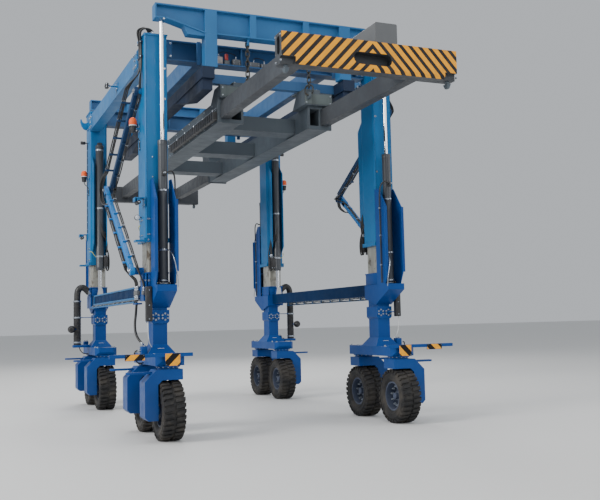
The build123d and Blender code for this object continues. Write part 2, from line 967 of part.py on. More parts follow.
def side_beam():
    """The top beam along the machine between the masts at +X."""
    z1 = side_beam_top
    x0 = mast_outboard - side_beam_width
    return block(x0, mast_outboard, -mast_inner, mast_inner, z1 - side_beam_height, z1)


def inner_beam():
    """The inner long beam of the upper frame at +X."""
    y_end = cross_beam_y - cross_beam_width / 2
    half = inner_beam_width / 2
    z0, z1 = cross_beam_top - inner_beam_height, cross_beam_top
    return block(inner_beam_x - half, inner_beam_x + half, -y_end, y_end, z0, z1)


def tie_beam():
    """The lower side beam between the two legs at +X."""
    y_end = mast_inner + head_set_back
    half = tie_beam_width / 2
    z0, z1 = tie_beam_top - tie_beam_height, tie_beam_top
    return block(tie_beam_x - half, tie_beam_x + half, -y_end, y_end, z0, z1)


def bar_section(offset):
    """The eight-sided section of the chain's bar, at an offset along X."""
    with BuildSketch(Plane.XZ) as section:
        with Locations((offset, 0)):
            Rectangle(chain_bar, chain_bar)
        chamfer(section.vertices(), bar_bevel)
    return section.sketch


def link(z0, z1):
    """A long chain link in the X Z plane between bar centres at z0 and z1."""
    half = (z1 - z0) / 2 - link_radius
    bow = revolve(bar_section(link_radius), Axis.Z, 180)
    flat = Pos(0, half, 0) * bow + Pos(0, -half, 0) * Rot(0, 0, 180) * bow
    for side in (-1, 1):
        flat = flat + extrude(bar_section(side * link_radius), half, both=True)
    return Pos(0, 0, (z0 + z1) / 2) * Rot(90, 0, 0) * flat


def chain():
    """Two long links at right angles and the big ring that holds the spreader's lug, bar on bar."""
    nest = chain_bar - link_nest
    low = ring_z + ring_radius - nest
    middle = (link_top_z + low) / 2
    upper = link(middle - nest / 2, link_top_z)
    lower = Rot(0, 0, 90) * link(low, middle + nest / 2)
    ring = Pos(0, 0, ring_z) * Rot(90, 0, 0) * revolve(bar_section(ring_radius), Axis.Z, 360)
    return Pos(chain_x, cylinder_y, 0) * (upper + lower + ring)


def cell(x, y0, y1, gap):
    """The space of one sliding arm, larger all round by a gap."""
    half_w = arm_beam_width / 2 + gap
    half_h = arm_beam_height / 2 + gap
    return block(x - half_w, x + half_w, y0, y1, arm_z - half_h, arm_z + half_h)


def pedestal(end):
    """The head on one end of a girder: a sloped block with a lower block outboard and a bored lug."""
    y_end = pedestal_end
    y_low = pedestal_end - pedestal_length
    x1 = girder_x + girder_width / 2
    blocks = plate_yz(
        pedestal_inner_x,
        pedestal_step_x,
        (y_end, girder_top),
        (y_end, pedestal_top),
        (y_low + pedestal_slope, pedestal_top),
        (y_low, girder_top),
    )
    low_top = girder_top + pedestal_low_height
    blocks = blocks + plate_yz(
        pedestal_step_x,
        x1,
        (y_end, girder_top),
        (y_end, low_top),
        (y_low + pedestal_slope, low_top),
        (y_low, girder_top),
    )
    root = block(
        chain_x - lug_thickness / 2,
        chain_x + lug_thickness / 2,
        y_end,
        cylinder_y,
        ring_hole_z - lug_half,
        ring_hole_z + lug_half,
    )
    blocks = blocks + lug(root, ring_hole_z)
    return quadrant(blocks, 1, end)


def spreader_girder():
    """A box guide with two cells for the sliding arms, mouth collars, wear pads and two pedestals, at +X."""
    x0, x1 = girder_x - girder_width / 2, girder_x + girder_width / 2
    z0, z1 = girder_bottom, girder_top
    body = block(x0, x1, -girder_half, girder_half, z0, z1)
    for end in (-1, 1):
        y_far, y_near = end * girder_half, end * (girder_half - girder_collar_length)
        c = girder_collar
        body = body + block(x0 - c, x1 + c, min(y_far, y_near), max(y_far, y_near), z0 - c, z1 + c)
    for offset, mouth in ((cell_offset, -1), (-cell_offset, 1)):
        x_cell = girder_x + offset
        body = body - cell(x_cell, -girder_half, girder_half, slide_gap)
        y_mouth = mouth * (girder_half - pad_length / 2)
        pad = cell(x_cell, y_mouth - pad_length / 2, y_mouth + pad_length / 2, slide_gap)
        body = body + (pad - cell(x_cell, y_mouth - pad_length, y_mouth + pad_length, seat_gap))
    for end in (-1, 1):
        body = body + pedestal(end)
    return body


def spreader_tie(y):
    """A box that joins the two girders."""
    x_in = girder_x - girder_width / 2
    half = spreader_tie_length / 2
    z0 = girder_bottom + spreader_tie_rise
    return block(-x_in, x_in, y - half, y + half, z0, z0 + spreader_tie_height)


def end_beam():
    """The deep end beam at +Y, creased along its foot, stepped at its corners, with a slot and side holes."""
    x_end = end_beam_width / 2
    y0, y1 = end_beam_inner, end_beam_outer
    z0, z1 = end_beam_bottom, end_beam_top
    beam = plate_yz(
        -x_end,
        x_end,
        (y0, z0),
        (y1 - crease_in, z0),
        (y1, z0 + crease_rise),
        (y1, z1),
        (y0, z1),
    )
    with BuildSketch(Plane.XZ.offset(-y1)) as slot:
        with Locations((0, z0 + slot_rise)):
            SlotOverall(slot_length, slot_height)
    beam = beam - extrude(slot.sketch, slot_depth)
    for side in (-1, 1):
        x_a, x_b = side * x_end, side * (x_end - corner_step_width)
        y_step = y1 - corner_step_depth
        beam = beam - block(min(x_a, x_b), max(x_a, x_b), y_step, y1, z0, z0 + corner_step_rise)
        x_in = side * (x_end - side_hole_depth)
        with BuildSketch(Plane.YZ.offset(min(x_a, x_in))) as hole:
            with Locations((corner_pitch_y, (z0 + corner_step_rise + z1) / 2)):
                SlotOverall(side_hole_height, side_hole_width, rotation=90)
        beam = beam - extrude(hole.sketch, side_hole_depth)
    return beam


def spreader_end(offset):
    """The end beam at +Y welded to its two sliding arms, which lie in the cells at an offset."""
    body = end_beam()
    for side in (-1, 1):
        body = body + cell(side * (girder_x + offset), girder_half - arm_beam_inside, end_beam_inner, 0)
    return body


def twistlocks():
    """A round-shanked lock with a tapered head under each corner of the end beam at +Y."""
    locks = []
    z1 = end_beam_bottom
    z_head = z1 - twistlock_shank
    for side in (-1, 1):
        x = side * corner_pitch_x
        shank = tube_z(x, corner_pitch_y, z_head, z1, twistlock_shank_diameter)
        with BuildSketch(Plane.XY.offset(z_head)) as wide:
            with Locations((x, corner_pitch_y)):
                Rectangle(twistlock_width, twistlock_length)
        with BuildSketch(Plane.XY.offset(z_head - twistlock_head)) as tip:
            with Locations((x, corner_pitch_y)):
                Rectangle(twistlock_width * twistlock_taper, twistlock_length * twistlock_taper)
        locks.append(shank + loft([wide.sketch, tip.sketch]))
    return locks


def spreader_box():
    """The round-edged housing on the front end beam."""
    with BuildSketch(Plane.XZ.offset(end_beam_outer)) as face:
        with Locations(((box_inner_x + box_outer_x) / 2, end_beam_top + box_height / 2)):
            Rectangle(box_outer_x - box_inner_x, box_height)
        fillet(face.vertices().group_by(Axis.Z)[-1], box_corner)
    return extrude(face.sketch, -box_length)


def hose_carrier():
    """The ribbed hose carrier along the outboard face of the left girder."""
    x0 = -girder_x - girder_width / 2 - carrier_width
    z0 = girder_bottom + carrier_rise
    y1 = -slide_gap
    y0 = -carrier_end
    body = block(x0, x0 + carrier_width, y0, y1, z0, z0 + carrier_height)
    count = int((y1 - y0) // carrier_pitch)
    for i in range(count):
        y = y0 + (i + 0.5) * carrier_pitch
        body = body - block(x0, x0 + carrier_groove_depth, y, y + carrier_groove, z0, z0 + carrier_height)
    return body


class Folding:
    """The place of a hose arm: its frame pivot, its length and its slope in the Y Z plane."""

    def __init__(self, pivot_z):
        self.y, self.z = hose_pivot_y, pivot_z
        self.length = hypot(elbow_y - self.y, elbow_z - pivot_z)
        self.slope = degrees(atan2(elbow_z - pivot_z, elbow_y - self.y))

    def place(self, x0):
        """A frame at the pivot whose local X runs along the arm and local Z across the machine."""
        upright = Plane(origin=(x0, self.y, self.z), x_dir=(0, 1, 0), z_dir=(1, 0, 0))
        return upright.location * Rot(0, 0, self.slope)


def hose_arm(fold, x0, eye, outer):
    """A bar with a bored eye at its pivot, clip bars across it and an eye or pin at the elbow."""
    half_t = hose_arm_thickness / 2
    bore = hose_pin_diameter + 2 * running_gap
    with BuildSketch() as outline:
        with Locations((fold.length / 2, 0)):
            SlotCenterToCenter(fold.length, hose_arm_width)
        if eye:
            with Locations((fold.length, 0)):
                Circle(elbow_eye_diameter / 2)
                Circle(elbow_hole_diameter / 2, mode=Mode.SUBTRACT)
        Circle(bore / 2, mode=Mode.SUBTRACT)
    arm = extrude(outline.sketch, hose_arm_thickness)
    step = (fold.length - hose_start - hose_stop) / (clip_count - 1)
    clip_length = hose_arm_width + (outer_hose_count + inner_hose_count) * hose_pitch
    y_mid = outer * (outer_hose_count - inner_hose_count) * hose_pitch / 2
    for i in range(clip_count):
        x = hose_start + i * step
        arm = arm + Pos(x, y_mid, half_t) * Box(clip_width, clip_length, clip_width)
    if not eye:
        depth = half_t + hose_arm_clearance + hose_arm_thickness
        arm = arm + Pos(fold.length, 0, half_t - depth / 2) * Cylinder(elbow_pin_diameter / 2, depth)
    return fold.place(x0) * arm


def arm_hoses(fold, x0, outer):
    """The hoses that lie on a hose arm's clip bars, on both sides of the arm."""
    hoses = []
    length = fold.length - hose_start - hose_stop + clip_width
    x_mid = hose_start - clip_width / 2 + length / 2
    z = hose_arm_thickness / 2 + clip_width / 2 + hose_diameter / 2
    for side, count in ((outer, outer_hose_count), (-outer, inner_hose_count)):
        for i in range(count):
            y = side * (hose_arm_width / 2 + (i + 0.5) * hose_pitch)
            bar = Pos(x_mid, y, z) * Rot(0, 90, 0) * Cylinder(hose_diameter / 2, length)
            hoses.append(fold.place(x0) * bar)
    return hoses


def beacon():
    """An amber beacon: a bracket plate from the mast, a round base and a dome."""
    x = mast_outboard + beacon_reach
    z0 = mast_foot + beacon_rise
    half = beacon_base_diameter / 2
    plate = block(mast_outboard, x + half, beacon_y - half, beacon_y + half, z0, z0 + beacon_plate)
    z1 = z0 + beacon_plate + beacon_base_height
    z2 = z1 + beacon_dome_height
    base = tube_z(x, beacon_y, z0 + beacon_plate, z1, beacon_base_diameter)
    dome = tube_z(x, beacon_y, z1, z2, beacon_dome_diameter)
    dome = fillet(dome.edges().group_by(Axis.Z)[-1], beacon_crown)
    return plate + base + dome


def work_lamp():
    """A square work lamp on a bar that stands out from the side beam."""
    z = side_beam_top - side_beam_height / 2
    x = side_beam_outboard + lamp_reach
    arm = bar_x(side_beam_outboard, x, lamp_y, z, lamp_arm)
    with BuildSketch(Plane.YZ.offset(x)) as face:
        with Locations((lamp_y, z)):
            RectangleRounded(lamp_size, lamp_size, lamp_corner)
    return arm + extrude(face.sketch, lamp_depth)


ends = {"front": -1, "rear": 1}
sides = {"left": -1, "right": 1}
legs = [(sx, sy) for sx in (-1, 1) for sy in (-1, 1)]

# Upper frame
for side_name, sx in sides.items():
    save(f"masts_{side_name}", quadrant(mast(True), sx, -1), quadrant(mast(False), sx, 1))
save("cross_beams", *[quadrant(cross_beam(), 1, sy) for sy in (-1, 1)])
save("inner_beams", *[quadrant(inner_beam(), sx, 1) for sx in (-1, 1)])
save("side_beams", *[quadrant(side_beam(), sx, 1) for sx in (-1, 1)])
save("raise_barrels", *[quadrant(raise_barrel(), sx, sy) for sx, sy in legs])
save("beacons", *[quadrant(beacon(), sx, sy) for sx, sy in legs])
save("work_lamps", *[quadrant(work_lamp(), sx, -1) for sx in (-1, 1)])

# Lower frames
for side_name, sx in sides.items():
    save(f"leg_bases_{side_name}", quadrant(leg_base(True), sx, -1), quadrant(leg_base(False), sx, 1))
    save(f"inner_posts_{side_name}", *[quadrant(inner_post(), sx, sy) for sy in (-1, 1)])
    save(f"raise_rods_{side_name}", *[quadrant(raise_rod(), sx, sy) for sy in (-1, 1)])
    save(f"lift_barrels_{side_name}", *[quadrant(lift_barrel(), sx, sy) for sy in (-1, 1)])
    save(f"tie_beam_{side_name}", quadrant(tie_beam(), sx, 1))

# Wheels and their arms, numbered from the front
for side_name, sx in sides.items():
    number = 0
    for sy in (-1, 1):
        for along in (-1, 1):
            number += 1
            y = leg_y + sy * along * tandem_pitch / 2
            save(f"wheel_arm_{side_name}_{number}", quadrant(wheel_arm(y), sx, sy))
            save(f"tyre_{side_name}_{number}", quadrant(tyre(y), sx, sy))
            save(f"rim_{side_name}_{number}", quadrant(rim(y), sx, sy))

# Folding hose arms at the front legs, each with the hoses that its clip bars hold
upper_fold = Folding(upper_pivot_z)
lower_fold = Folding(lower_pivot_z)
upper_arm = [hose_arm(upper_fold, upper_arm_x, True, -1), *arm_hoses(upper_fold, upper_arm_x, -1)]
lower_arm = [hose_arm(lower_fold, lower_arm_x, False, 1), *arm_hoses(lower_fold, lower_arm_x, 1)]
for side_name, sx in sides.items():
    save(f"hose_arm_upper_{side_name}", *[quadrant(piece, sx, -1) for piece in upper_arm])
    save(f"hose_arm_lower_{side_name}", *[quadrant(piece, sx, -1) for piece in lower_arm])

# Lifting frame
save("lifting_beams", *[quadrant(lifting_beam(), 1, sy) for sy in (-1, 1)])
save("droppers", *[quadrant(dropper(), sx, sy) for sx, sy in legs])
save("hanger_beams", *[quadrant(hanger_beam(), sx, 1) for sx in (-1, 1)])
save("hanger_ties", *[quadrant(hanger_tie(), 1, sy) for sy in (-1, 1)])
save("lift_rods", *[quadrant(lift_rod(), sx, sy) for sx, sy in legs])

# Spreader
save("chains", *[quadrant(chain(), sx, sy) for sx, sy in legs])
save("spreader_girders", *[quadrant(spreader_girder(), sx, 1) for sx in (-1, 1)])
save("spreader_ties", *[spreader_tie(y) for y in (-spreader_tie_y, 0, spreader_tie_y)])
save("hose_carrier", hose_carrier())
for end_name, sy in ends.items():
    save(f"spreader_end_{end_name}", quadrant(spreader_end(-sy * cell_offset), 1, sy))
    save(f"twistlocks_{end_name}", *[quadrant(lock, 1, sy) for lock in twistlocks()])
save("spreader_box", spreader_box())
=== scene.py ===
"""Looks of the straddle carrier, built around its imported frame.

Metres, in the frame of the CAD: Z = 0 is the ground, X runs across the machine and Y along it, with
the front at -Y. Most pieces are drawn once, at +X +Y, and reflected to the other legs.
"""

import bmesh
import bpy
from math import atan2, cos, pi, radians, sin, tau
from mathutils import Matrix, Vector


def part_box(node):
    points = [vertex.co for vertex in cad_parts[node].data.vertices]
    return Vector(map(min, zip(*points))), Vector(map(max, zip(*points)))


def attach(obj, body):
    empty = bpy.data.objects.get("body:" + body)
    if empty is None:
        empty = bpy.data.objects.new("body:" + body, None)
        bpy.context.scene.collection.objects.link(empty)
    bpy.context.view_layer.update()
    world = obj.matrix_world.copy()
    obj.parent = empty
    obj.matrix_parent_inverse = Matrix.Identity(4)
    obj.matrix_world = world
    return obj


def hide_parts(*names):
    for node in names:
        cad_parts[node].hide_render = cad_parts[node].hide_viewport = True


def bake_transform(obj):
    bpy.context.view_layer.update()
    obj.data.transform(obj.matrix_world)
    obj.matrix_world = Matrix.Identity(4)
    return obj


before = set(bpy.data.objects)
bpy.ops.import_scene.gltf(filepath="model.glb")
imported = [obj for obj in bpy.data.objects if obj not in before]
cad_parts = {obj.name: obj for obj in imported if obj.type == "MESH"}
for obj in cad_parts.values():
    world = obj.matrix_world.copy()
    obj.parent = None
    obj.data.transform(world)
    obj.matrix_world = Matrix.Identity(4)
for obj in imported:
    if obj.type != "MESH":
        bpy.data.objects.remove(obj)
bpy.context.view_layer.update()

# Stations of the machine that several pieces use
LEG_X = 1.885
LEG_Y = 2.54
MAST_X = 1.93
MAST_SIDE = 2.105
MAST_END = 2.77
CYLINDER_Y = 2.945
WHEEL_YS = (1.931, 3.149)
TABLE_TOP = 1.21

# Directions at the leg that is drawn, at +X +Y
OUT = (1, 0, 0)
ENDWARDS = (0, 1, 0)
UP = (0, 0, 1)

ALL_LEGS = ((-1, -1), (-1, 1), (1, -1), (1, 1))
LEFT_LEGS = ((-1, -1), (-1, 1))
RIGHT_LEGS = ((1, -1), (1, 1))
FRONT_LEGS = ((-1, -1), (1, -1))
REAR_LEGS = ((-1, 1), (1, 1))
SIDES = (("left", LEFT_LEGS, -1), ("right", RIGHT_LEGS, 1))


# Dust on the paints, the end beams' stripes and the small plates' bars
DUST = (0.21, 0.18, 0.14)
STRIPED_FACE_Y = 6.07
STRIPE_SLANT = 0.93
STRIPE_PITCH = 0.146
PLATE_BAR_PITCH = 0.235


# Finishes
class Finish:
    """The node tree of one finish, with the few steps that the finishes share."""

    def __init__(self, name):
        self.material = bpy.data.materials.new(name)
        self.material.use_nodes = True
        self.tree = self.material.node_tree
        self.shader = self.tree.nodes["Principled BSDF"]
        self.place = self.node("ShaderNodeTexCoord").outputs["Object"]
        self.surface = self.node("ShaderNodeNewGeometry")

    def node(self, kind, **settings):
        made = self.tree.nodes.new(kind)
        for key, value in settings.items():
            setattr(made, key, value)
        return made

    def feed(self, socket, value):
        if isinstance(value, bpy.types.NodeSocket):
            self.tree.links.new(value, socket)
        else:
            socket.default_value = value

    def maths(self, operation, first, second=0.0, third=0.0):
        made = self.node("ShaderNodeMath", operation=operation)
        for socket, value in zip(made.inputs, (first, second, third)):
            self.feed(socket, value)
        return made.outputs[0]

    def times(self, first, second):
        return self.maths("MULTIPLY", first, second)

    def axes(self, vector):
        split = self.node("ShaderNodeSeparateXYZ")
        self.feed(split.inputs[0], vector)
        return split.outputs

    def noise(self, scale, stretch=(1, 1, 1), detail=4.0, roughness=0.55, shift=(0, 0, 0)):
        mapping = self.node("ShaderNodeMapping")
        self.feed(mapping.inputs["Vector"], self.place)
        mapping.inputs["Scale"].default_value = stretch
        mapping.inputs["Location"].default_value = shift
        made = self.node("ShaderNodeTexNoise")
        self.feed(made.inputs["Vector"], mapping.outputs[0])
        made.inputs["Scale"].default_value = scale
        made.inputs["Detail"].default_value = detail
        made.inputs["Roughness"].default_value = roughness
        return made.outputs["Fac"]

    def between(self, value, low, high, out_low=0.0, out_high=1.0):
        """A smooth step of a value from low to high."""
        made = self.node("ShaderNodeMapRange", interpolation_type="SMOOTHSTEP")
        for socket, number in zip(made.inputs, (value, low, high, out_low, out_high)):
            self.feed(socket, number)
        return made.outputs[0]

    def eased(self, tone, low, high):
        """A tone of 0 to 1 as a value from low to high."""
        return self.between(tone, 0.0, 1.0, low, high)

    def patches(self, low, high, scale, *form, out=(0.0, 1.0), **grain):
        """A smooth step of a noise from low to high: soft patches."""
        return self.between(self.noise(scale, *form, **grain), low, high, *out)

    def blend(self, factor, first, second):
        made = self.node("ShaderNodeMix", data_type="RGBA")
        self.feed(made.inputs[0], factor)
        for socket, colour in ((made.inputs[6], first), (made.inputs[7], second)):
            self.feed(socket, (*colour, 1.0) if isinstance(colour, tuple) else colour)
        return made.outputs[2]

    def edge(self, radius):
        """(rounded normal, how far a spot is on an edge of that radius)"""
        rounded = self.node("ShaderNodeBevel", samples=4)
        rounded.inputs["Radius"].default_value = radius
        dot = self.node("ShaderNodeVectorMath", operation="DOT_PRODUCT")
        self.feed(dot.inputs[0], rounded.outputs[0])
        self.feed(dot.inputs[1], self.surface.outputs["Normal"])
        return rounded.outputs[0], self.between(dot.outputs["Value"], 0.995, 0.86)

    def relief(self, height, strength, distance, normal=None):
        made = self.node("ShaderNodeBump")
        made.inputs["Strength"].default_value = strength
        made.inputs["Distance"].default_value = distance
        self.feed(made.inputs["Height"], height)
        if normal is not None:
            self.feed(made.inputs["Normal"], normal)
        return made.outputs[0]

    def grain(self, strength, distance, scale, *form, normal=None, **more):
        """The relief of a noise."""
        return self.relief(self.noise(scale, *form, **more), strength, distance, normal)

    def wear(self, colour, radius, worn, dirt, dust, streaks=0.35, chips=0.6, low=1.2):
        """Weather on a paint: streaks that run down, dust low down and on top faces, rubbed edges."""
        rounded, on_edge = self.edge(radius)
        runs = self.patches(0.52, 0.78, 1.0, (13, 13, 0.7), 5.0, 0.6)
        patches = self.patches(0.4, 0.72, 1.3, shift=(4, 1, 7))
        running = self.times(self.times(runs, patches), streaks)
        colour = self.blend(running, colour, dirt)
        height = self.axes(self.place)[2]
        mottle = self.noise(7.0, detail=6.0, shift=(2, 5, 3))
        splash = self.times(self.between(height, low, 0.1, 0.0, 0.13), mottle)
        top = self.between(self.axes(self.surface.outputs["Normal"])[2], 0.6, 0.98, 0.0, 0.22)
        lying = self.times(top, mottle)
        dusty = self.maths("MAXIMUM", splash, lying)
        colour = self.blend(dusty, colour, dust)
        flakes = self.patches(0.42, 0.62, 38.0, detail=3.0)
        rubbed = self.times(self.times(on_edge, flakes), chips)
        return self.blend(rubbed, colour, worn), dusty, rounded, rubbed

    def even(self, name, value):
        """Sets what is the same all over the surface."""
        self.shader.inputs[name].default_value = value

    def close(self, colour, roughness, normal, metallic=None):
        self.feed(self.shader.inputs["Base Color"], colour)
        self.feed(self.shader.inputs["Roughness"], roughness)
        self.feed(self.shader.inputs["Normal"], normal)
        if metallic is not None:
            self.feed(self.shader.inputs["Metallic"], metallic)
        return self.material


def steel_paint(name, paint, shade, worn, dirt, gloss, streaks=0.35, chips=0.6, dust=DUST, glare=0.25):
    """Sprayed paint on welded plate, with a slightly uneven coat."""
    finish = Finish(name)
    tone = finish.patches(0.3, 0.7, 0.9, detail=3.0)
    colour = finish.blend(tone, paint, shade)
    colour, dusty, rounded, rubbed = finish.wear(
        colour, 0.007, worn, dirt, dust, streaks, chips
    )
    coat = finish.noise(5.0, detail=5.0, shift=(9, 2, 6))
    rough = finish.between(coat, 0.3, 0.7, gloss, gloss + 0.14)
    rough = finish.maths("ADD", rough, finish.times(dusty, 0.35))
    peel = finish.noise(160.0, detail=2.0)
    waves = finish.noise(4.0, detail=1.0, shift=(3, 3, 1))
    normal = finish.relief(peel, 0.05, 0.002, rounded)
    normal = finish.relief(waves, 0.12, 0.01, normal)
    normal = finish.relief(rubbed, 0.25, -0.001, normal)
    finish.even("Specular IOR Level", glare)
    return finish.close(colour, rough, normal)



leg_blue = steel_paint(
    "leg_blue", (0.0008, 0.06, 0.262), (0.0006, 0.047, 0.214), (0.03, 0.18, 0.46),
    (0.003, 0.018, 0.07), 0.32,
)
mast_blue = steel_paint(
    "mast_blue", (0.007, 0.15, 0.37), (0.005, 0.118, 0.305), (0.06, 0.25, 0.48),
    (0.008, 0.045, 0.15), 0.3,
)
frame_blue = steel_paint(
    "frame_blue", (0.032, 0.158, 0.365), (0.025, 0.132, 0.31), (0.12, 0.27, 0.46),
    (0.018, 0.06, 0.15), 0.34,
)
# The tie beams' paint: the machine's blue darkened to navy as painted shade, with its dust tone darkened to
# match and little glare.
tie_navy = steel_paint(
    "tie_navy", (0.0015, 0.024, 0.086), (0.001, 0.018, 0.066), (0.04, 0.12, 0.26),
    (0.002, 0.008, 0.024), 0.42, 0.2, dust=(0.06, 0.07, 0.09), glare=0.06,
)
# The upper hose arms' blue, darkened as painted shade: it is the same paint as on the lower arms.
arm_navy = steel_paint(
    "arm_navy", (0.01, 0.042, 0.115), (0.007, 0.032, 0.09), (0.06, 0.12, 0.22),
    (0.005, 0.012, 0.028), 0.36,
)
# The lower hose arms' blue, lightened as painted light: it is the same paint as on the upper arms.
arm_bright = steel_paint(
    "arm_bright", (0.018, 0.19, 0.52), (0.013, 0.15, 0.44), (0.14, 0.36, 0.64),
    (0.015, 0.09, 0.24), 0.3,
)
shadow_blue = steel_paint(
    "shadow_blue", (0.04, 0.122, 0.27), (0.029, 0.094, 0.218), (0.1, 0.2, 0.34),
    (0.008, 0.02, 0.042), 0.36,
)
spreader_grey = steel_paint(
    "spreader_grey", (0.09, 0.112, 0.132), (0.066, 0.082, 0.098), (0.24, 0.22, 0.2),
    (0.024, 0.025, 0.027), 0.46, 0.5, 0.8,
)
pedestal_grey = steel_paint(
    "pedestal_grey", (0.115, 0.14, 0.14), (0.08, 0.1, 0.104), (0.24, 0.22, 0.19),
    (0.03, 0.03, 0.029), 0.48, 0.6, 0.8,
)
hanger_dark = steel_paint(
    "hanger_dark", (0.012, 0.024, 0.056), (0.008, 0.017, 0.04), (0.09, 0.1, 0.12),
    (0.008, 0.009, 0.011), 0.42, 0.5, 0.5,
)
box_grey = steel_paint(
    "box_grey", (0.15, 0.155, 0.16), (0.12, 0.125, 0.13), (0.32, 0.31, 0.29),
    (0.035, 0.034, 0.032), 0.42, 0.6, 0.5,
)


def barrel_paint():
    """Black cylinder barrels, streaked and dusty."""
    finish = Finish("barrel_black")
    tone = finish.patches(0.3, 0.7, 2.0, (1, 1, 0.4))
    colour = finish.blend(tone, (0.052, 0.058, 0.068), (0.034, 0.038, 0.046))
    colour, dusty, rounded, _ = finish.wear(
        colour, 0.004, (0.12, 0.12, 0.12), (0.01, 0.01, 0.011), DUST, 0.4, 0.5
    )
    rough = finish.patches(0.3, 0.7, 9.0, detail=5.0, out=(0.3, 0.44))
    rough = finish.maths("ADD", rough, finish.times(dusty, 0.3))
    normal = finish.grain(0.05, 0.001, 120.0, detail=2.0, normal=rounded)
    return finish.close(colour, rough, normal)


def chromed_rod():
    """Hard chrome with a thin film of oil and fine rings where the seals have rubbed."""
    finish = Finish("chromed_rod")
    film = finish.patches(0.45, 0.75, 1.0, (9, 9, 0.5), 4.0)
    colour = finish.blend(film, (0.8, 0.81, 0.83), (0.62, 0.62, 0.6))
    rough = finish.patches(0.3, 0.7, 1.0, (2, 2, 60), 3.0, out=(0.07, 0.17))
    normal = finish.grain(0.03, 0.0006, 1.0, (3, 3, 320), 2.0)
    finish.even("Metallic", 1.0)
    return finish.close(colour, rough, normal)


def greased_post():
    """The inner posts: bare grey steel under smeared grease, darker where the pads run."""
    finish = Finish("greased_post")
    smear = finish.patches(0.35, 0.75, 1.0, (7, 7, 0.6), 6.0, 0.65)
    colour = finish.blend(smear, (0.42, 0.42, 0.38), (0.17, 0.16, 0.13))
    blots = finish.patches(0.52, 0.72, 6.0, detail=5.0, shift=(1, 8, 2))
    colour = finish.blend(blots, colour, (0.085, 0.065, 0.045))
    rounded = finish.edge(0.006)[0]
    rough = finish.patches(0.3, 0.7, 5.0, detail=5.0, out=(0.26, 0.52))
    normal = finish.grain(0.12, 0.002, 1.0, (40, 40, 6), 4.0, normal=rounded)
    return finish.close(colour, rough, normal, finish.eased(smear, 0.55, 0.25))


def forged_steel():
    """Chains, shackles and lugs: dark forged steel with a bloom of rust in the hollows."""
    finish = Finish("forged_steel")
    rust = finish.patches(0.5, 0.72, 16.0, detail=6.0)
    colour = finish.blend(rust, (0.05, 0.052, 0.05), (0.062, 0.042, 0.028))
    rounded, on_edge = finish.edge(0.004)
    colour = finish.blend(finish.times(on_edge, 0.5), colour, (0.2, 0.2, 0.18))
    rough = finish.eased(rust, 0.38, 0.75)
    normal = finish.grain(0.25, 0.002, 90.0, detail=4.0, normal=rounded)
    return finish.close(colour, rough, normal, finish.eased(rust, 0.8, 0.1))


def plated_steel():
    """Zinc-plated bolts, clamps and fittings."""
    finish = Finish("plated_steel")
    dull = finish.patches(0.35, 0.7, 28.0, detail=4.0)
    colour = finish.blend(dull, (0.46, 0.5, 0.55), (0.27, 0.3, 0.34))
    normal = finish.grain(0.08, 0.0006, 240.0, detail=2.0)
    rough = finish.eased(dull, 0.26, 0.48)
    finish.even("Metallic", 0.9)
    return finish.close(colour, rough, normal)


def tread_rubber():
    """Black tyre rubber, browned with dust in the grooves and scuffed grey on the tread."""
    finish = Finish("tread_rubber")
    scuff = finish.patches(0.45, 0.75, 20.0, detail=6.0)
    colour = finish.blend(scuff, (0.013, 0.013, 0.014), (0.036, 0.034, 0.032))
    dirt = finish.patches(0.42, 0.7, 4.0, detail=5.0, shift=(5, 1, 1), out=(0.0, 0.42))
    colour = finish.blend(dirt, colour, (0.105, 0.09, 0.072))
    rough = finish.eased(scuff, 0.62, 0.86)
    normal = finish.grain(0.3, 0.003, 75.0, detail=5.0)
    finish.even("Specular IOR Level", 0.35)
    return finish.close(colour, rough, normal)


def hose_rubber():
    """Black hydraulic hose with a faint wrapped texture."""
    finish = Finish("hose_rubber")
    tone = finish.patches(0.4, 0.7, 12.0, detail=4.0)
    colour = finish.blend(tone, (0.014, 0.014, 0.015), (0.04, 0.039, 0.037))
    rough = finish.eased(tone, 0.42, 0.64)
    normal = finish.grain(0.18, 0.001, 150.0, detail=3.0)
    return finish.close(colour, rough, normal)


def warning_stripes():
    """The end beams: grey steel whose outer face and crease carry amber and dark slanted stripes."""
    finish = Finish("end_beam_stripes")
    tone = finish.patches(0.3, 0.7, 1.1, detail=3.0)
    steel = finish.blend(tone, (0.062, 0.068, 0.076), (0.046, 0.05, 0.057))
    x, y, z = finish.axes(finish.place)
    across = finish.maths("ABSOLUTE", x)
    slanted = finish.maths("ADD", across, finish.times(z, STRIPE_SLANT))
    phase = finish.maths("FRACT", finish.maths("DIVIDE", slanted, STRIPE_PITCH))
    amber = finish.between(
        finish.maths("ABSOLUTE", finish.maths("SUBTRACT", phase, 0.5)), 0.285, 0.271
    )
    faded = finish.patches(0.35, 0.75, 6.0, detail=5.0, shift=(3, 1, 2))
    yellow = finish.blend(faded, (1.0, 0.42, 0.012), (0.84, 0.35, 0.018))
    dark = finish.blend(faded, (0.016, 0.017, 0.02), (0.036, 0.034, 0.034))
    paint = finish.blend(amber, dark, yellow)
    outward = finish.maths("ABSOLUTE", finish.axes(finish.surface.outputs["Normal"])[1])
    face = finish.maths("GREATER_THAN", finish.maths("ABSOLUTE", y), STRIPED_FACE_Y)
    face = finish.times(face, finish.maths("GREATER_THAN", outward, 0.5))
    colour = finish.blend(face, steel, paint)
    colour, _, rounded, _ = finish.wear(
        colour, 0.006, (0.22, 0.19, 0.15), (0.03, 0.026, 0.022), DUST, 0.3, 0.8
    )
    finish.even("Specular IOR Level", 0.22)
    rough = finish.patches(0.3, 0.7, 8.0, detail=5.0, out=(0.38, 0.56))
    normal = finish.grain(0.05, 0.001, 130.0, detail=2.0, normal=rounded)
    normal = finish.grain(0.1, 0.008, 3.0, detail=1.0, normal=normal)
    return finish.close(colour, rough, normal)


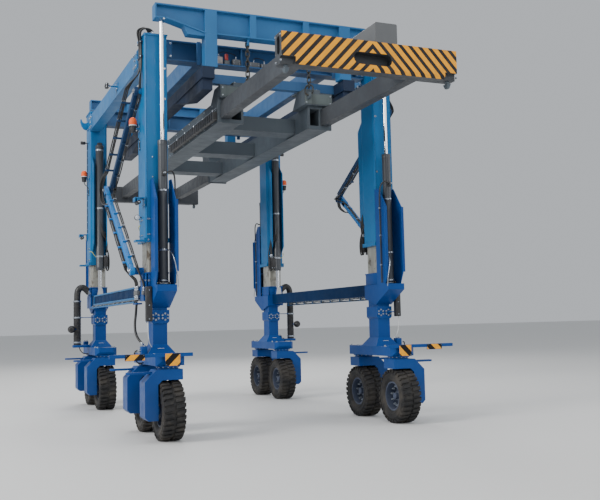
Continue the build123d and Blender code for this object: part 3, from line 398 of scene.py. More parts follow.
def hazard_plate():
    """Small yellow plates with broad black slanted bars."""
    finish = Finish("hazard_plate")
    x, y, z = finish.axes(finish.place)
    slanted = finish.maths("ADD", finish.maths("ABSOLUTE", x), z)
    phase = finish.maths("FRACT", finish.maths("DIVIDE", slanted, PLATE_BAR_PITCH))
    bar = finish.between(finish.maths("ABSOLUTE", finish.maths("SUBTRACT", phase, 0.5)), 0.26, 0.25)
    faded = finish.patches(0.35, 0.75, 20.0, detail=5.0)
    yellow = finish.blend(faded, (1.0, 0.42, 0.01), (0.8, 0.34, 0.02))
    colour = finish.blend(bar, (0.008, 0.008, 0.009), yellow)
    scratched = finish.patches(0.66, 0.72, 60.0, (1, 1, 4), 5.0, out=(0.0, 0.6))
    colour = finish.blend(scratched, colour, (0.16, 0.14, 0.11))
    normal = finish.grain(0.05, 0.0006, 200.0, detail=2.0)
    finish.even("Specular IOR Level", 0.22)
    return finish.close(colour, finish.eased(faded, 0.34, 0.5), normal)


def plain_finish(name, first, second, rough, metallic=0.0, grain=90.0, depth=0.001):
    """A small part's finish: two tones, uneven gloss and a fine grain."""
    finish = Finish(name)
    tone = finish.patches(0.35, 0.7, 14.0, detail=5.0)
    colour = finish.blend(tone, first, second)
    finish.even("Metallic", metallic)
    gloss = finish.patches(0.3, 0.7, 22.0, detail=4.0, out=(rough, rough + 0.15))
    return finish.close(colour, gloss, finish.grain(0.1, depth, grain))


barrel_black = barrel_paint()
chrome = chromed_rod()
greased = greased_post()
forged = forged_steel()
plated = plated_steel()
rubber = tread_rubber()
hose_black = hose_rubber()
hazard = hazard_plate()
end_beam_finish = warning_stripes()
rim_paint = steel_paint(
    "rim_paint", (0.075, 0.095, 0.15), (0.05, 0.066, 0.11), (0.2, 0.18, 0.15),
    (0.03, 0.026, 0.022), 0.44, 0.3, 0.8,
)
amber_glass = plain_finish("amber_glass", (0.92, 0.13, 0.018), (0.8, 0.09, 0.012), 0.12)
black_plastic = plain_finish("black_plastic", (0.016, 0.016, 0.018), (0.032, 0.032, 0.034), 0.4)
lamp_glass = plain_finish("lamp_glass", (0.72, 0.75, 0.78), (0.6, 0.63, 0.66), 0.08)
white_plate = plain_finish("white_plate", (0.74, 0.75, 0.74), (0.58, 0.58, 0.55), 0.4)
wire_yellow = plain_finish("wire_yellow", (0.62, 0.6, 0.05), (0.45, 0.46, 0.05), 0.4)
pale_enamel = plain_finish("pale_enamel", (0.42, 0.36, 0.32), (0.3, 0.26, 0.24), 0.42)
red_enamel = plain_finish("red_enamel", (0.42, 0.03, 0.025), (0.3, 0.025, 0.02), 0.34)


# Finishes of the CAD nodes
NODE_FINISHES = (
    (leg_blue, ("leg_bases_", "wheel_arm_")),
    (tie_navy, ("tie_beam_",)),
    (mast_blue, ("masts_",)),
    (amber_glass, ("beacons",)),
    (black_plastic, ("work_lamps",)),
    (frame_blue, ("lifting_beams", "side_beams", "droppers")),
    (shadow_blue, ("cross_beams", "inner_beams", "hanger_ties")),
    (hanger_dark, ("hanger_beams",)),
    (barrel_black, ("raise_barrels", "lift_barrels_")),
    (chrome, ("raise_rods_", "lift_rods")),
    (greased, ("inner_posts_",)),
    (forged, ("chains",)),
    (spreader_grey, ("spreader_girders", "spreader_ties", "twistlocks_")),
    (black_plastic, ("hose_carrier",)),
    (end_beam_finish, ("spreader_end_",)),
    (box_grey, ("spreader_box",)),
    (arm_navy, ("hose_arm_upper_",)),
    (arm_bright, ("hose_arm_lower_",)),
    (rim_paint, ("rim_",)),
    (rubber, ("tyre_",)),
)

for finish_of_node, names in NODE_FINISHES:
    for node_name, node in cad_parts.items():
        if node_name.startswith(names):
            if not node.material_slots:
                node.data.materials.append(finish_of_node)
            for material_slot in node.material_slots:
                material_slot.material = finish_of_node


# Shapes
def finished(shape, paint=0):
    """Sets which of a piece's finishes a shape has, and turns its faces outwards."""
    bmesh.ops.recalc_face_normals(shape, faces=shape.faces)
    for face in shape.faces:
        face.material_index = paint
    return shape


def join(target, shape, matrix=None, paint=None):
    """Adds a shape to a larger one."""
    if paint is not None:
        finished(shape, paint)
    mesh = bpy.data.meshes.new("shape")
    shape.to_mesh(mesh)
    if matrix is not None:
        mesh.transform(matrix)
        if matrix.determinant() < 0:
            mesh.flip_normals()
    target.from_mesh(mesh)
    bpy.data.meshes.remove(mesh)
    shape.free()


def lump(size):
    """A box about the origin, to be shaped further."""
    shape = bmesh.new()
    bmesh.ops.create_cube(shape, size=1.0)
    bmesh.ops.scale(shape, vec=size, verts=shape.verts)
    return shape


def prism(sides, low_radius, high_radius, height):
    """A prism about Z, half below the origin and half above it."""
    shape = bmesh.new()
    bmesh.ops.create_cone(
        shape, cap_ends=True, segments=sides, radius1=low_radius, radius2=high_radius, depth=height
    )
    return shape


def shift(shape, way):
    bmesh.ops.translate(shape, vec=way, verts=shape.verts)


def swing(shape, angle, axis):
    bmesh.ops.rotate(shape, cent=(0, 0, 0), matrix=Matrix.Rotation(angle, 3, axis), verts=shape.verts)


def ease(shape, edges, width, steps=2):
    bmesh.ops.bevel(
        shape, geom=edges, offset=width, offset_type="OFFSET", segments=steps, profile=0.5,
        affect="EDGES", material=-1,
    )


def block(low, high, edge=0.004, steps=2):
    """A plate or bar between two corners, with eased edges."""
    low, high = Vector(low), Vector(high)
    shape = lump(high - low)
    shift(shape, (low + high) / 2)
    if edge:
        ease(shape, shape.edges[:], edge, steps)
    return shape


def along(start, direction):
    """The matrix that stands a shape drawn up Z at a start, along a direction."""
    turn = Vector(direction).to_track_quat("Z", "Y").to_matrix().to_4x4()
    return Matrix.Translation(Vector(start)) @ turn


def turned(profile, steps=24):
    """A turned part about Z: profile is a row of (radius, height), closed on the axis."""
    shape = bmesh.new()
    verts = [shape.verts.new((radius, 0.0, height)) for radius, height in profile]
    edges = [shape.edges.new(pair) for pair in zip(verts, verts[1:])]
    bmesh.ops.spin(
        shape, geom=verts + edges, axis=(0, 0, 1), cent=(0, 0, 0), dvec=(0, 0, 0), angle=tau,
        steps=steps, use_merge=True, use_duplicate=False,
    )
    bmesh.ops.remove_doubles(shape, verts=shape.verts, dist=1e-5)
    return shape


def rod(start, end, diameter, edge=0.002, steps=16):
    """A round bar between two points, with eased ends."""
    start, end = Vector(start), Vector(end)
    length = (end - start).length
    radius = diameter / 2
    eased = radius - edge
    profile = ((0, 0), (eased, 0), (radius, edge), (radius, length - edge), (eased, length), (0, length))
    shape = turned(profile, steps)
    bmesh.ops.transform(shape, matrix=along(start, end - start), verts=shape.verts)
    return shape


def bolt_head(across, height, washer=True):
    """A hexagon head with a chamfered top, on its washer."""
    shape = prism(6, across / 2, across / 2, height)
    shift(shape, (0, 0, height / 2 + 0.002))
    rim = [e for e in shape.edges if min(v.co.z for v in e.verts) > height * 0.9]
    ease(shape, rim, across * 0.07, 1)
    if washer:
        join(shape, prism(12, across * 0.74, across * 0.7, 0.004))
    return shape


def circle(centre, radius, count, axis, start=0.0):
    """Evenly spaced spots on a circle about an axis that is X, Y or Z."""
    spots = []
    for n in range(count):
        a, b = radius * cos(start + tau * n / count), radius * sin(start + tau * n / count)
        offset = {"X": (0, a, b), "Y": (a, 0, b), "Z": (a, b, 0)}[axis]
        spots.append(Vector(centre) + Vector(offset))
    return spots


def pipe(points, diameter, sides=6):
    """A pipe or a clipped hose along a smooth line through a route."""
    curve = bpy.data.curves.new("route", "CURVE")
    curve.dimensions = "3D"
    curve.resolution_u = 6
    curve.bevel_depth = diameter / 2
    curve.bevel_resolution = sides // 2
    curve.use_fill_caps = True
    spline = curve.splines.new("NURBS")
    spline.points.add(len(points) - 1)
    for spot, point in zip(spline.points, points):
        spot.co = (*point, 1.0)
    spline.order_u = 3
    spline.use_endpoint_u = True
    holder = bpy.data.objects.new("route", curve)
    mesh = bpy.data.meshes.new_from_object(holder)
    shape = bmesh.new()
    shape.from_mesh(mesh)
    bmesh.ops.remove_doubles(shape, verts=shape.verts, dist=1e-6)
    bpy.data.objects.remove(holder)
    bpy.data.curves.remove(curve)
    bpy.data.meshes.remove(mesh)
    return shape


def reflect(shape, across, lengthwise):
    """The +X +Y shape at the leg on that side and end."""
    bmesh.ops.scale(shape, vec=(across, lengthwise, 1), verts=shape.verts)
    if across * lengthwise < 0:
        bmesh.ops.reverse_faces(shape, faces=shape.faces)
    return shape


def settle(shape, angle=0.6):
    """Smooth shading, but for the edges that are sharper than an angle."""
    for face in shape.faces:
        face.smooth = True
    for edge in shape.edges:
        edge.smooth = edge.is_manifold and edge.calc_face_angle(0.0) < angle


def make_piece(name, body, slot, shape, *finishes):
    """Turns a shape into a piece that rides on a body, or on none."""
    settle(shape)
    mesh = bpy.data.meshes.new(name)
    shape.to_mesh(mesh)
    shape.free()
    for finish in finishes:
        mesh.materials.append(finish)
    piece = bpy.data.objects.new(name, mesh)
    bpy.context.scene.collection.objects.link(piece)
    if body:
        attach(piece, body)
    return piece


class Drawing:
    """A piece while it is drawn: each method adds a shape, and paint says which of its finishes it has."""

    def __init__(self):
        self.shape = bmesh.new()

    def add(self, shape, matrix=None, paint=0):
        join(self.shape, shape, matrix, paint)

    def move(self, matrix):
        """Moves all that is drawn so far."""
        before = self.shape
        self.shape = bmesh.new()
        join(self.shape, before, matrix)

    def bar(self, low, high, paint=0, edge=0.003, steps=2):
        self.add(block(low, high, edge, steps), None, paint)

    def rod(self, start, end, diameter, paint=0, edge=0.002, steps=16):
        self.add(rod(start, end, diameter, edge, steps), None, paint)

    def pipe(self, route, diameter, paint=0, sides=8):
        self.add(pipe(route, diameter, sides), None, paint)

    def turn(self, profile, steps, matrix, paint):
        self.add(turned(profile, steps), matrix, paint)

    def bolts(self, spots, direction, across=0.024, height=0.014, paint=0, washer=True):
        """Bolt heads at a row of spots, that stand out along one direction."""
        mesh = bpy.data.meshes.new("bolt_head")
        head = finished(bolt_head(across, height, washer), paint)
        head.to_mesh(mesh)
        head.free()
        for spot in spots:
            place = along(spot, direction)
            mesh.transform(place)
            self.shape.from_mesh(mesh)
            mesh.transform(place.inverted())
        bpy.data.meshes.remove(mesh)

    def bolted_plate(self, low, high, out, paint=0, metal=1, across=0.018, inset=0.025):
        """A plate with a bolt near each corner of the face that looks along out."""
        self.bar(low, high, paint)
        low, high, out = Vector(low), Vector(high), Vector(out)
        axis = max(range(3), key=lambda n: abs(out[n]))
        first, second = (n for n in range(3) if n != axis)
        spots = []
        for a in (low[first] + inset, high[first] - inset):
            for b in (low[second] + inset, high[second] - inset):
                spot = Vector((0, 0, 0))
                spot[axis] = high[axis] if out[axis] > 0 else low[axis]
                spot[first], spot[second] = a, b
                spots.append(spot)
        self.bolts(spots, out, across, across * 0.6, metal)

    def hose_end(self, spot, direction, diameter, paint):
        """A crimped ferrule and its nut, where a hose screws into something along a direction."""
        spot, direction = Vector(spot), Vector(direction).normalized()
        radius = diameter / 2
        profile = (
            (0, 0), (radius * 1.2, 0), (radius * 1.3, 0.004), (radius * 1.3, 0.04), (radius * 1.05, 0.046),
            (0, 0.046),
        )
        self.turn(profile, 12, along(spot, direction), paint)
        nut = prism(6, radius * 1.6, radius * 1.6, 0.02)
        ease(nut, nut.edges[:], 0.0015, 1)
        self.add(nut, along(spot - direction * 0.01, direction), paint)


def drawn(draw, *given):
    """The shape that a drawing function makes."""
    piece = Drawing()
    draw(piece, *given)
    return piece.shape


def on_side(draw, across, *given):
    """What is drawn at +X, on the side that across names."""
    return reflect(drawn(draw, *given), across, 1)


def at_legs(draw, legs):
    """One shape of what is drawn at +X +Y, reflected to each leg."""
    whole = bmesh.new()
    for across, lengthwise in legs:
        join(whole, reflect(drawn(draw), across, lengthwise))
    return whole


# Wheels
TYRE_RADIUS = 0.425
GROOVE_RADIUS = 0.402
LUG_COUNT = 30


def tyre_carcass():
    """A tyre's walls and groove floor, drawn about X, with a raised bead and wall ribs."""
    half = 0.16
    outline = (
        (0.232, -half + 0.03), (0.262, -half + 0.004), (0.275, -half), (0.283, -half),
        (0.287, -half + 0.004), (0.33, -half + 0.001), (0.334, -half), (0.342, -half),
        (0.346, -half + 0.004), (0.378, -half + 0.012), (GROOVE_RADIUS, -half + 0.03),
        (GROOVE_RADIUS, 0.0),
    )
    profile = outline + tuple((radius, -width) for radius, width in reversed(outline[:-1]))
    shape = turned(profile, 60)
    swing(shape, pi / 2, "Y")
    return finished(shape)


def tread_lug():
    """One tread lug of the right-hand row, with a raked side, from the groove floor to the tread."""
    pitch = tau * TYRE_RADIUS / LUG_COUNT
    shape = lump((0.138, pitch * 0.62, 0.031))
    for vert in shape.verts:
        if vert.co.z > 0:
            vert.co.y *= 0.86
            vert.co.x *= 0.93
        vert.co.y += 0.16 * vert.co.x
    shift(shape, (0.084, 0, TYRE_RADIUS - 0.0155))
    ease(shape, [e for e in shape.edges if min(v.co.z for v in e.verts) > TYRE_RADIUS - 0.01], 0.004, 1)
    return finished(shape)


def shoulder_lug():
    """The short block on the shoulder that carries each lug round to the tyre's wall."""
    shape = lump((0.022, 0.05, 0.04))
    for vert in shape.verts:
        if vert.co.z < 0:
            vert.co.y *= 0.8
    shift(shape, (0.1475, 0.022, 0.392))
    ease(shape, shape.edges[:], 0.003, 1)
    return finished(shape)


def tyre_shape():
    """The carcass with two staggered rows of lugs, its axle along X through the origin."""
    whole = tyre_carcass()
    lug = tread_lug()
    join(lug, shoulder_lug())
    mesh = bpy.data.meshes.new("lug")
    lug.to_mesh(mesh)
    lug.free()
    step = tau / LUG_COUNT
    half_turn = Matrix.Rotation(pi, 4, "Z")
    for row, first in ((Matrix.Identity(4), 0.0), (half_turn, step / 2)):
        for n in range(LUG_COUNT):
            place = Matrix.Rotation(first + n * step, 4, "X") @ row
            mesh.transform(place)
            whole.from_mesh(mesh)
            mesh.transform(place.inverted())
    bpy.data.meshes.remove(mesh)
    return whole


def wheel_fittings(piece):
    """Wheel nuts on their studs, and the hub's cap with its bolts, drawn at a wheel on +X."""
    inboard = (-1, 0, 0)
    disc = -0.04
    nuts = circle((disc, 0, 0), 0.15, 10, "X", 0.2)
    piece.bolts(nuts, inboard, 0.034, 0.024)
    for spot in nuts:
        piece.rod(spot, spot + Vector((-0.04, 0, 0)), 0.016, 0, 0.002, 8)
    cap = ((0, 0.06), (0.04, 0.06), (0.052, 0.052), (0.056, 0), (0.074, 0), (0.074, -0.012), (0, -0.012))
    piece.turn(cap, 24, along((disc, 0, 0), inboard), 1)
    piece.bolts(circle((disc, 0, 0), 0.065, 6, "X"), inboard, 0.014, 0.01)


for side, legs, across in SIDES:
    for number in range(1, 5):
        name = f"{side}_{number}"
        low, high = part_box(f"tyre_{name}")
        middle = (low + high) / 2
        tyre = tyre_shape()
        if across < 0:
            swing(tyre, pi, "Z")
        shift(tyre, middle)
        piece = make_piece(f"treaded_tyre_{name}", f"wheel_{name}", "tyre_rubber", tyre, rubber)
        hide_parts(f"tyre_{name}")
        hub = on_side(wheel_fittings, across)
        shift(hub, middle)
        make_piece(f"wheel_nuts_{name}", f"wheel_{name}", "rim_steel", hub, plated, rim_paint)


# Hazard plates and boss bolts
def bumper_plates(piece):
    """The two striped plates on a front leg's bumper."""
    for x0, x1, z0 in ((1.768, 1.982, 1.064), (2.273, 2.547, 1.154)):
        piece.bar((x0, 3.3968, z0), (x1, 3.3995, 1.2365), 0, 0.001, 1)
    corners = [(x, 3.3992, z) for x in (1.784, 1.966) for z in (1.08, 1.222)]
    corners += [(x, 3.3992, z) for x in (2.288, 2.532) for z in (1.168, 1.222)]
    piece.bolts(corners, ENDWARDS, 0.01, 0.004, 1, False)


def boss_bolts(piece):
    """Two circles of six bolts on each end face of the column's boss."""
    for face_y, out in ((LEG_Y + 0.197, 1), (LEG_Y - 0.197, -1)):
        for x in (LEG_X - 0.07, LEG_X + 0.07):
            spots = circle((x, face_y, 1.76), 0.046, 6, "Y", pi / 6)
            piece.bolts(spots, (0, out, 0), 0.022, 0.013)
            cover = ((0, 0.003), (0.02, 0.003), (0.022, 0), (0, 0))
            piece.turn(cover, 16, along((x, face_y, 1.76), (0, out, 0)), 1)


for side, legs, across in SIDES:
    body = f"{side}_lower_frame"
    make_piece(f"boss_bolts_{side}", body, "chain_steel", at_legs(boss_bolts, legs), plated, leg_blue)
    front = [leg for leg in legs if leg[1] < 0]
    make_piece(f"bumper_plates_{side}", body, "blue_paint", at_legs(bumper_plates, front), hazard, plated)


# Folding hose arms
class ArmLine:
    """The line of a hose arm from its pivot to the elbow, in the plane of Y and Z."""

    def __init__(self, pivot_z, side, x_low, x_high, inner_hoses):
        self.pivot = Vector((0.0, -LEG_Y, pivot_z))
        reach = ELBOW - self.pivot
        self.length = reach.length
        self.ahead = reach.normalized()
        self.out = Vector((0.0, -self.ahead.z, self.ahead.y)) * side
        self.x_low, self.x_high = x_low, x_high
        self.hoses = [(x, HOSE_OFF) for x in OUTER_HOSES] + [(x, -HOSE_OFF) for x in inner_hoses]

    def spot(self, x, run, off):
        """The spot at a distance along the arm and another off its line, towards its outer side."""
        return self.pivot + self.ahead * run + self.out * off + Vector((x, 0, 0))

    def frame(self):
        """The matrix from (across the machine, along the arm, off its line) to the machine."""
        turn = Matrix((Vector(OUT), self.ahead, self.out)).transposed().to_4x4()
        return Matrix.Translation(self.pivot) @ turn


ELBOW = Vector((0.0, -0.43, 3.985))
ARM_HALF = 0.046
HOSE = 0.021
HOSE_OFF = 0.082
OUTER_HOSES = (2.286, 2.31, 2.334)
LOOP_RADII = (0.225, 0.24, 0.232)
UPPER_ARM = ArmLine(5.2, 1, 2.13, 2.22, (2.128, 2.153))
LOWER_ARM = ArmLine(2.45, -1, 2.228, 2.3, (2.186, 2.211))
CLIP_RUNS = 5
EYE_X = 2.16
SADDLE = 0.0125


def ring(x_low, x_high, radius, bore):
    """A bored ring, and the matrix that lays it across the machine on the line through Y = Z = 0."""
    width = x_high - x_low
    profile = (
        (bore, 0), (radius - 0.004, 0), (radius, 0.004), (radius, width - 0.004), (radius - 0.004, width),
        (bore, width), (bore, 0),
    )
    return turned(profile, 32), along((x_low, 0, 0), OUT)


def hose_arm(piece, arm):
    """A hose arm: a box beam with an eye at each end, and hoses on clip bars on both its sides."""
    x0, x1, length = arm.x_low, arm.x_high, arm.length
    upper = arm is UPPER_ARM
    pivot_x = EYE_X if upper else x0
    piece.bar((pivot_x, 0.03, -ARM_HALF), (x1, 0.15, ARM_HALF), 0, 0.006)
    piece.bar((x0, 0.12, -ARM_HALF), (x1, length - 0.12, ARM_HALF), 0, 0.008, 3)
    piece.add(*ring(pivot_x, x1, 0.065, 0.021))
    if upper:
        shape, place = ring(EYE_X, x1, 0.065, 0.042)
        piece.add(shape, Matrix.Translation((0, length, 0)) @ place)
        piece.bar((EYE_X, length - 0.15, -0.04), (x1, length - 0.045, 0.04), 0, 0.006)
    else:
        piece.bar((x0, length - 0.24, -0.058), (x1, length + 0.062, 0.058), 0, 0.008, 3)
        piece.rod((2.15, length, 0), (x1 + 0.01, length, 0), 0.032, 2, 0.003, 20)
        piece.bolts([(x1 + 0.006, length, 0)], OUT, 0.044, 0.02, 2)
        piece.bolts([(x1, length - 0.19, off) for off in (-0.036, 0.036)], OUT, 0.018, 0.011, 2)
    piece.rod((x1 - 0.002, 0, 0), (x1 + 0.01, 0, 0), 0.074, 2, 0.003, 20)
    piece.bolts([(x1 + 0.008, 0, 0)], OUT, 0.04, 0.016, 2)
    clips = [0.33 + (length - 0.8) * n / (CLIP_RUNS - 1) for n in range(CLIP_RUNS)]
    for run in clips:
        for x_low, x_high, off in ((x0 + 0.02, 2.35, 0.057), (arm.hoses[3][0] - 0.014, x1 - 0.015, -0.057)):
            piece.bar((x_low, run - 0.014, off - 0.012), (x_high, run + 0.014, off + 0.012))
        for x, off in arm.hoses:
            low, high = (x - SADDLE, run - 0.011, off - SADDLE), (x + SADDLE, run + 0.011, off + SADDLE)
            piece.bar(low, high, 2, 0.004)
    for n, (x, off) in enumerate(arm.hoses):
        route = [(x, 0.3, off)]
        for first, second in zip(clips, clips[1:]):
            route.append((x, first, off))
            route.append((x + 0.002 * (-1) ** n, (first + second) / 2, off * (1.03 + 0.02 * n)))
        route += [(x, clips[-1], off), (x, length - 0.42, off)]
        piece.pipe(route, HOSE, 1)
    piece.move(arm.frame())


def elbow_loops(piece, arm, thicker):
    """A hose arm's hoses at the elbow: three go round its outside in a loop, and two past its pin.

    Each arm carries its half of the loops and some more, on the same circles about the pin, so they
    stay whole while the arms fold.
    """
    start_angle = atan2(arm.out.z, arm.out.y)
    turn = -1 if start_angle > 0 else 1
    for (x, off), radius in zip(arm.hoses, LOOP_RADII):
        route = [
            arm.spot(x, arm.length - 0.44, off), arm.spot(x, arm.length - 0.35, off + 0.004),
            arm.spot(x, arm.length - 0.18, off + 0.72 * (radius - off)),
        ]
        for step in range(6):
            angle = start_angle + turn * radians(12 + 16 * step)
            route.append(ELBOW + Vector((x, radius * cos(angle), radius * sin(angle))))
        piece.pipe(route, HOSE + thicker)
    for n, (x, off) in enumerate(arm.hoses[3:]):
        inside = 2.136 - 0.022 * n
        route = (
            arm.spot(x, arm.length - 0.44, off), arm.spot(x, arm.length - 0.3, off),
            arm.spot(inside, arm.length - 0.16, off * 0.8), arm.spot(inside, arm.length - 0.06, off * 0.3),
            arm.spot(inside, arm.length, 0),
        )
        piece.pipe(route, HOSE)


def mast_row(n):
    """How far along Y each hose runs up the mast's outboard face."""
    return -2.49 - 0.036 * n


def manifold_row(n):
    """How far along Y each hose comes out of the manifold's top."""
    return -2.13 - 0.075 * n


def gland_row(n):
    """How far along Y each hose comes out of the gland block on the head."""
    return -2.625 - 0.034 * n


def upper_pivot_hoses(piece):
    """The five hoses from the upper arm's pivot end to the mast's outboard face."""
    for n, (x, off) in enumerate(UPPER_ARM.hoses):
        y = mast_row(n)
        route = [UPPER_ARM.spot(x, run, off) for run in (0.31, 0.15, 0.02)]
        route += [(min(x, 2.2), y, 5.4), (2.126, y, 5.5), (2.122, y, 5.64)]
        piece.pipe(route, HOSE)


def lower_pivot_hoses(piece):
    """The five hoses from the lower arm's pivot end: three to the manifold, two to the head."""
    for n, (x, off) in enumerate(LOWER_ARM.hoses):
        if off > 0:
            y = manifold_row(n)
            route = [LOWER_ARM.spot(x, run, off) for run in (0.36, 0.28)]
            route += [(x - 0.01, y - 0.02, 2.47), (2.19, y, 2.38)]
            route += [(2.13, y, 2.32), (2.124, y, 2.232)]
        else:
            y = gland_row(n - 3)
            route = [LOWER_ARM.spot(x, run, off) for run in (0.31, 0.15, 0.02)]
            route += [(x, y, 2.47), (2.15, y, 2.34), (2.116, y, 2.27), (2.114, y, 2.19)]
        piece.pipe(route, HOSE)


def mast_top_hoses(piece):
    """The hoses up the top of a front mast's outboard face and over its lid, in two clips."""
    for n in range(5):
        y = mast_row(n)
        rise, reach = 0.016 * (4 - n), 0.022 * (n % 3)
        route = (
            (2.122, y, 5.62), (2.122, y, 5.9), (2.134 + reach, y - 0.01, 6.06 + rise),
            (2.11 + reach, y - 0.03, 6.13 + rise), (2.04, y - 0.06, 6.15 + rise),
            (1.985 - reach, y - 0.06, 6.12), (1.98 - reach, y - 0.06, 6.09),
        )
        piece.pipe(route, HOSE + 0.005)
        piece.hose_end((1.98 - reach, y - 0.06, 6.068), UP, HOSE, 1)
    for z in (5.7, 5.93):
        piece.bolted_plate((2.134, -2.67, z), (2.142, -2.45, z + 0.03), OUT, 2, 1, 0.012, 0.01)
        for y in (-2.67, -2.464):
            piece.bar((MAST_SIDE, y, z), (2.136, y + 0.014, z + 0.03), 2, 0.002, 1)
    piece.bolted_plate((1.92, -2.725, 6.051), (2.005, -2.52, 6.067), UP, 2, 1, 0.012, 0.012)


def leg_hoses(piece):
    """A front leg's manifold on the tie beam's end, the head's gland block, and the hoses under them."""
    piece.bar((2.068, -2.318, 2.06), (2.1, -2.08, 2.205), 3, 0.004)
    piece.bar((2.098, -2.33, 2.095), (2.15, -2.092, 2.165), 2, 0.006)
    piece.bar((2.068, -2.33, 1.955), (2.16, -2.08, 1.978), 3, 0.004)
    for n in range(3):
        y = manifold_row(n)
        piece.hose_end((2.124, y, 2.19), UP, HOSE + 0.008, 1)
        piece.rod((2.124, y, 2.16), (2.124, y, 2.186), 0.03, 1, 0.003, 12)
    for n in range(4):
        y = -2.118 - 0.06 * n
        piece.hose_end((2.13, y, 2.072), (0, 0, -1), HOSE, 1)
        tray = 2.084 + 0.014 * n
        route = (
            (2.13, y, 2.04), (2.13, y + 0.004, 2.012), (tray, y + 0.04, 2.003), (tray, -1.98, 2.003),
        )
        piece.pipe(route, HOSE - 0.006)
    piece.bar((2.096, -2.69, 2.09), (2.138, -2.6, 2.15), 2, 0.005)
    for n in range(2):
        piece.hose_end((2.114, gland_row(n), 2.16), UP, HOSE, 1)
    drop = (
        (2.128, -2.2, 1.958), (2.136, -2.195, 1.82), (2.16, -2.21, 1.66), (2.164, -2.28, 1.52),
        (2.136, -2.37, 1.42), (2.104, -2.44, 1.368),
    )
    piece.pipe(drop, 0.038, 0, 10)
    piece.hose_end((2.098, -2.452, 1.358), (0.4, 0.8, 0.6), 0.03, 1)


def leg_cover(piece):
    """The black cover that stands up a front leg's head, with the pale cable out of its foot."""
    piece.bar((2.033, -2.862, 1.69), (2.126, -2.776, 2.208), 0, 0.012, 3)
    for z in (1.73, 1.93, 2.15):
        piece.bolts([(2.08, -2.862, z)], (0, -1, 0), 0.014, 0.008, 1)
    for z in (1.76, 1.96):
        piece.bar((1.93, -2.8, z), (2.1, -2.7, z + 0.016), 2)
    cable = (
        (2.096, -2.82, 1.7), (2.094, -2.82, 1.56), (2.084, -2.806, 1.44), (2.06, -2.77, 1.36),
        (2.02, -2.73, 1.318), (1.99, -2.7, 1.3),
    )
    piece.pipe(cable, 0.013, 3)


for side, legs, across in SIDES:
    for name, arm, paint in (("upper", UPPER_ARM, arm_navy), ("lower", LOWER_ARM, arm_bright)):
        body = f"{name}_hose_arm_{side}"
        beam = make_piece(
            f"folding_arm_{name}_{side}", body, "dark_blue_paint", on_side(hose_arm, across, arm),
            paint, hose_black, plated,
        )
        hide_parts(f"hose_arm_{name}_{side}")
        loops = on_side(elbow_loops, across, arm, 0.003 if name == "upper" else 0.0018)
        make_piece(f"elbow_hoses_{name}_{side}", body, "black_paint", loops, hose_black)
    hoses = on_side(upper_pivot_hoses, across)
    piece = make_piece(f"pivot_hoses_upper_{side}", None, "black_paint", hoses, hose_black)
    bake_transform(piece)
    hoses = on_side(lower_pivot_hoses, across)
    piece = make_piece(f"pivot_hoses_lower_{side}", None, "black_paint", hoses, hose_black)
    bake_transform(piece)
    lower_frame = f"{side}_lower_frame"
    for name, body, draw, *finishes in (
        ("mast_top_hoses", "upper_frame", mast_top_hoses, hose_black, plated, hanger_dark),
        ("leg_hoses", lower_frame, leg_hoses, hose_black, plated, box_grey, leg_blue),
        ("leg_cover", lower_frame, leg_cover, black_plastic, plated, leg_blue, white_plate),
    ):
        make_piece(f"{name}_{side}", body, "black_paint", on_side(draw, across), *finishes)


# Masts, beacons and lamps
def beacon(piece):
    """An amber beacon in a wire guard on the end of a bar, with its cable clipped below."""
    x, y = 2.208, 2.4
    piece.bar((MAST_SIDE, 2.384, 4.64), (2.172, 2.416, 4.654), 2)
    piece.bolted_plate((MAST_SIDE, 2.352, 4.59), (2.114, 2.448, 4.7), OUT, 2, 3, 0.014, 0.018)
    middle = Matrix.Translation((x, y, 4.585))
    basket = ((0, 0), (0.034, 0), (0.04, 0.006), (0.05, 0.09), (0.05, 0.1), (0, 0.1))
    piece.turn(basket, 28, middle, 1)
    for n in range(10):
        for lean in (-1, 1):
            foot, head = tau * n / 10, tau * (n + lean) / 10
            piece.rod(
                (x + 0.042 * cos(foot), y + 0.042 * sin(foot), 4.588),
                (x + 0.055 * cos(head), y + 0.055 * sin(head), 4.69), 0.004, 1, 0.0005, 6,
            )
    rim = (
        (0.048, 0.1), (0.06, 0.101), (0.062, 0.106), (0.06, 0.114), (0, 0.114), (0, 0.1), (0.048, 0.1),
    )
    piece.turn(rim, 28, middle, 4)
    lens = [(0, 0.114), (0.056, 0.114)]
    for rib in range(7):
        lens += [(0.0615, 0.12 + 0.009 * rib), (0.06, 0.1245 + 0.009 * rib)]
    lens += [(0.057, 0.192), (0.049, 0.21), (0.035, 0.226), (0.018, 0.235), (0, 0.237)]
    piece.turn(lens, 32, middle, 0)
    cable = (
        (x, y, 4.588), (x - 0.004, y + 0.008, 4.545), (2.17, y + 0.03, 4.52), (2.126, y + 0.034, 4.49),
        (2.113, y + 0.03, 4.42), (2.113, y + 0.03, 4.3),
    )
    piece.pipe(cable, 0.015, 1)
    for z in (4.33, 4.43):
        piece.bar((MAST_SIDE, y + 0.014, z), (2.124, y + 0.046, z + 0.014), 3)


def mast_bracket(piece):
    """The upper bracket on a mast's outboard face, with a black roller under its outer end."""
    piece.bar((MAST_SIDE, 2.63, 3.52), (2.265, 2.77, 3.534))
    piece.bar((2.251, 2.63, 3.47), (2.265, 2.77, 3.526))
    piece.bolted_plate((MAST_SIDE, 2.62, 3.4), (2.117, 2.78, 3.545), OUT, 0, 1, 0.016, 0.022)
    piece.rod((2.205, 2.615, 3.46), (2.205, 2.785, 3.46), 0.06, 2, 0.006, 20)
    piece.rod((2.205, 2.6, 3.46), (2.205, 2.8, 3.46), 0.018, 1, 0.002, 12)
    for y in (2.636, 2.764):
        piece.bar((2.18, y - 0.004, 3.445), (2.23, y + 0.004, 3.525), 0, 0.002, 1)


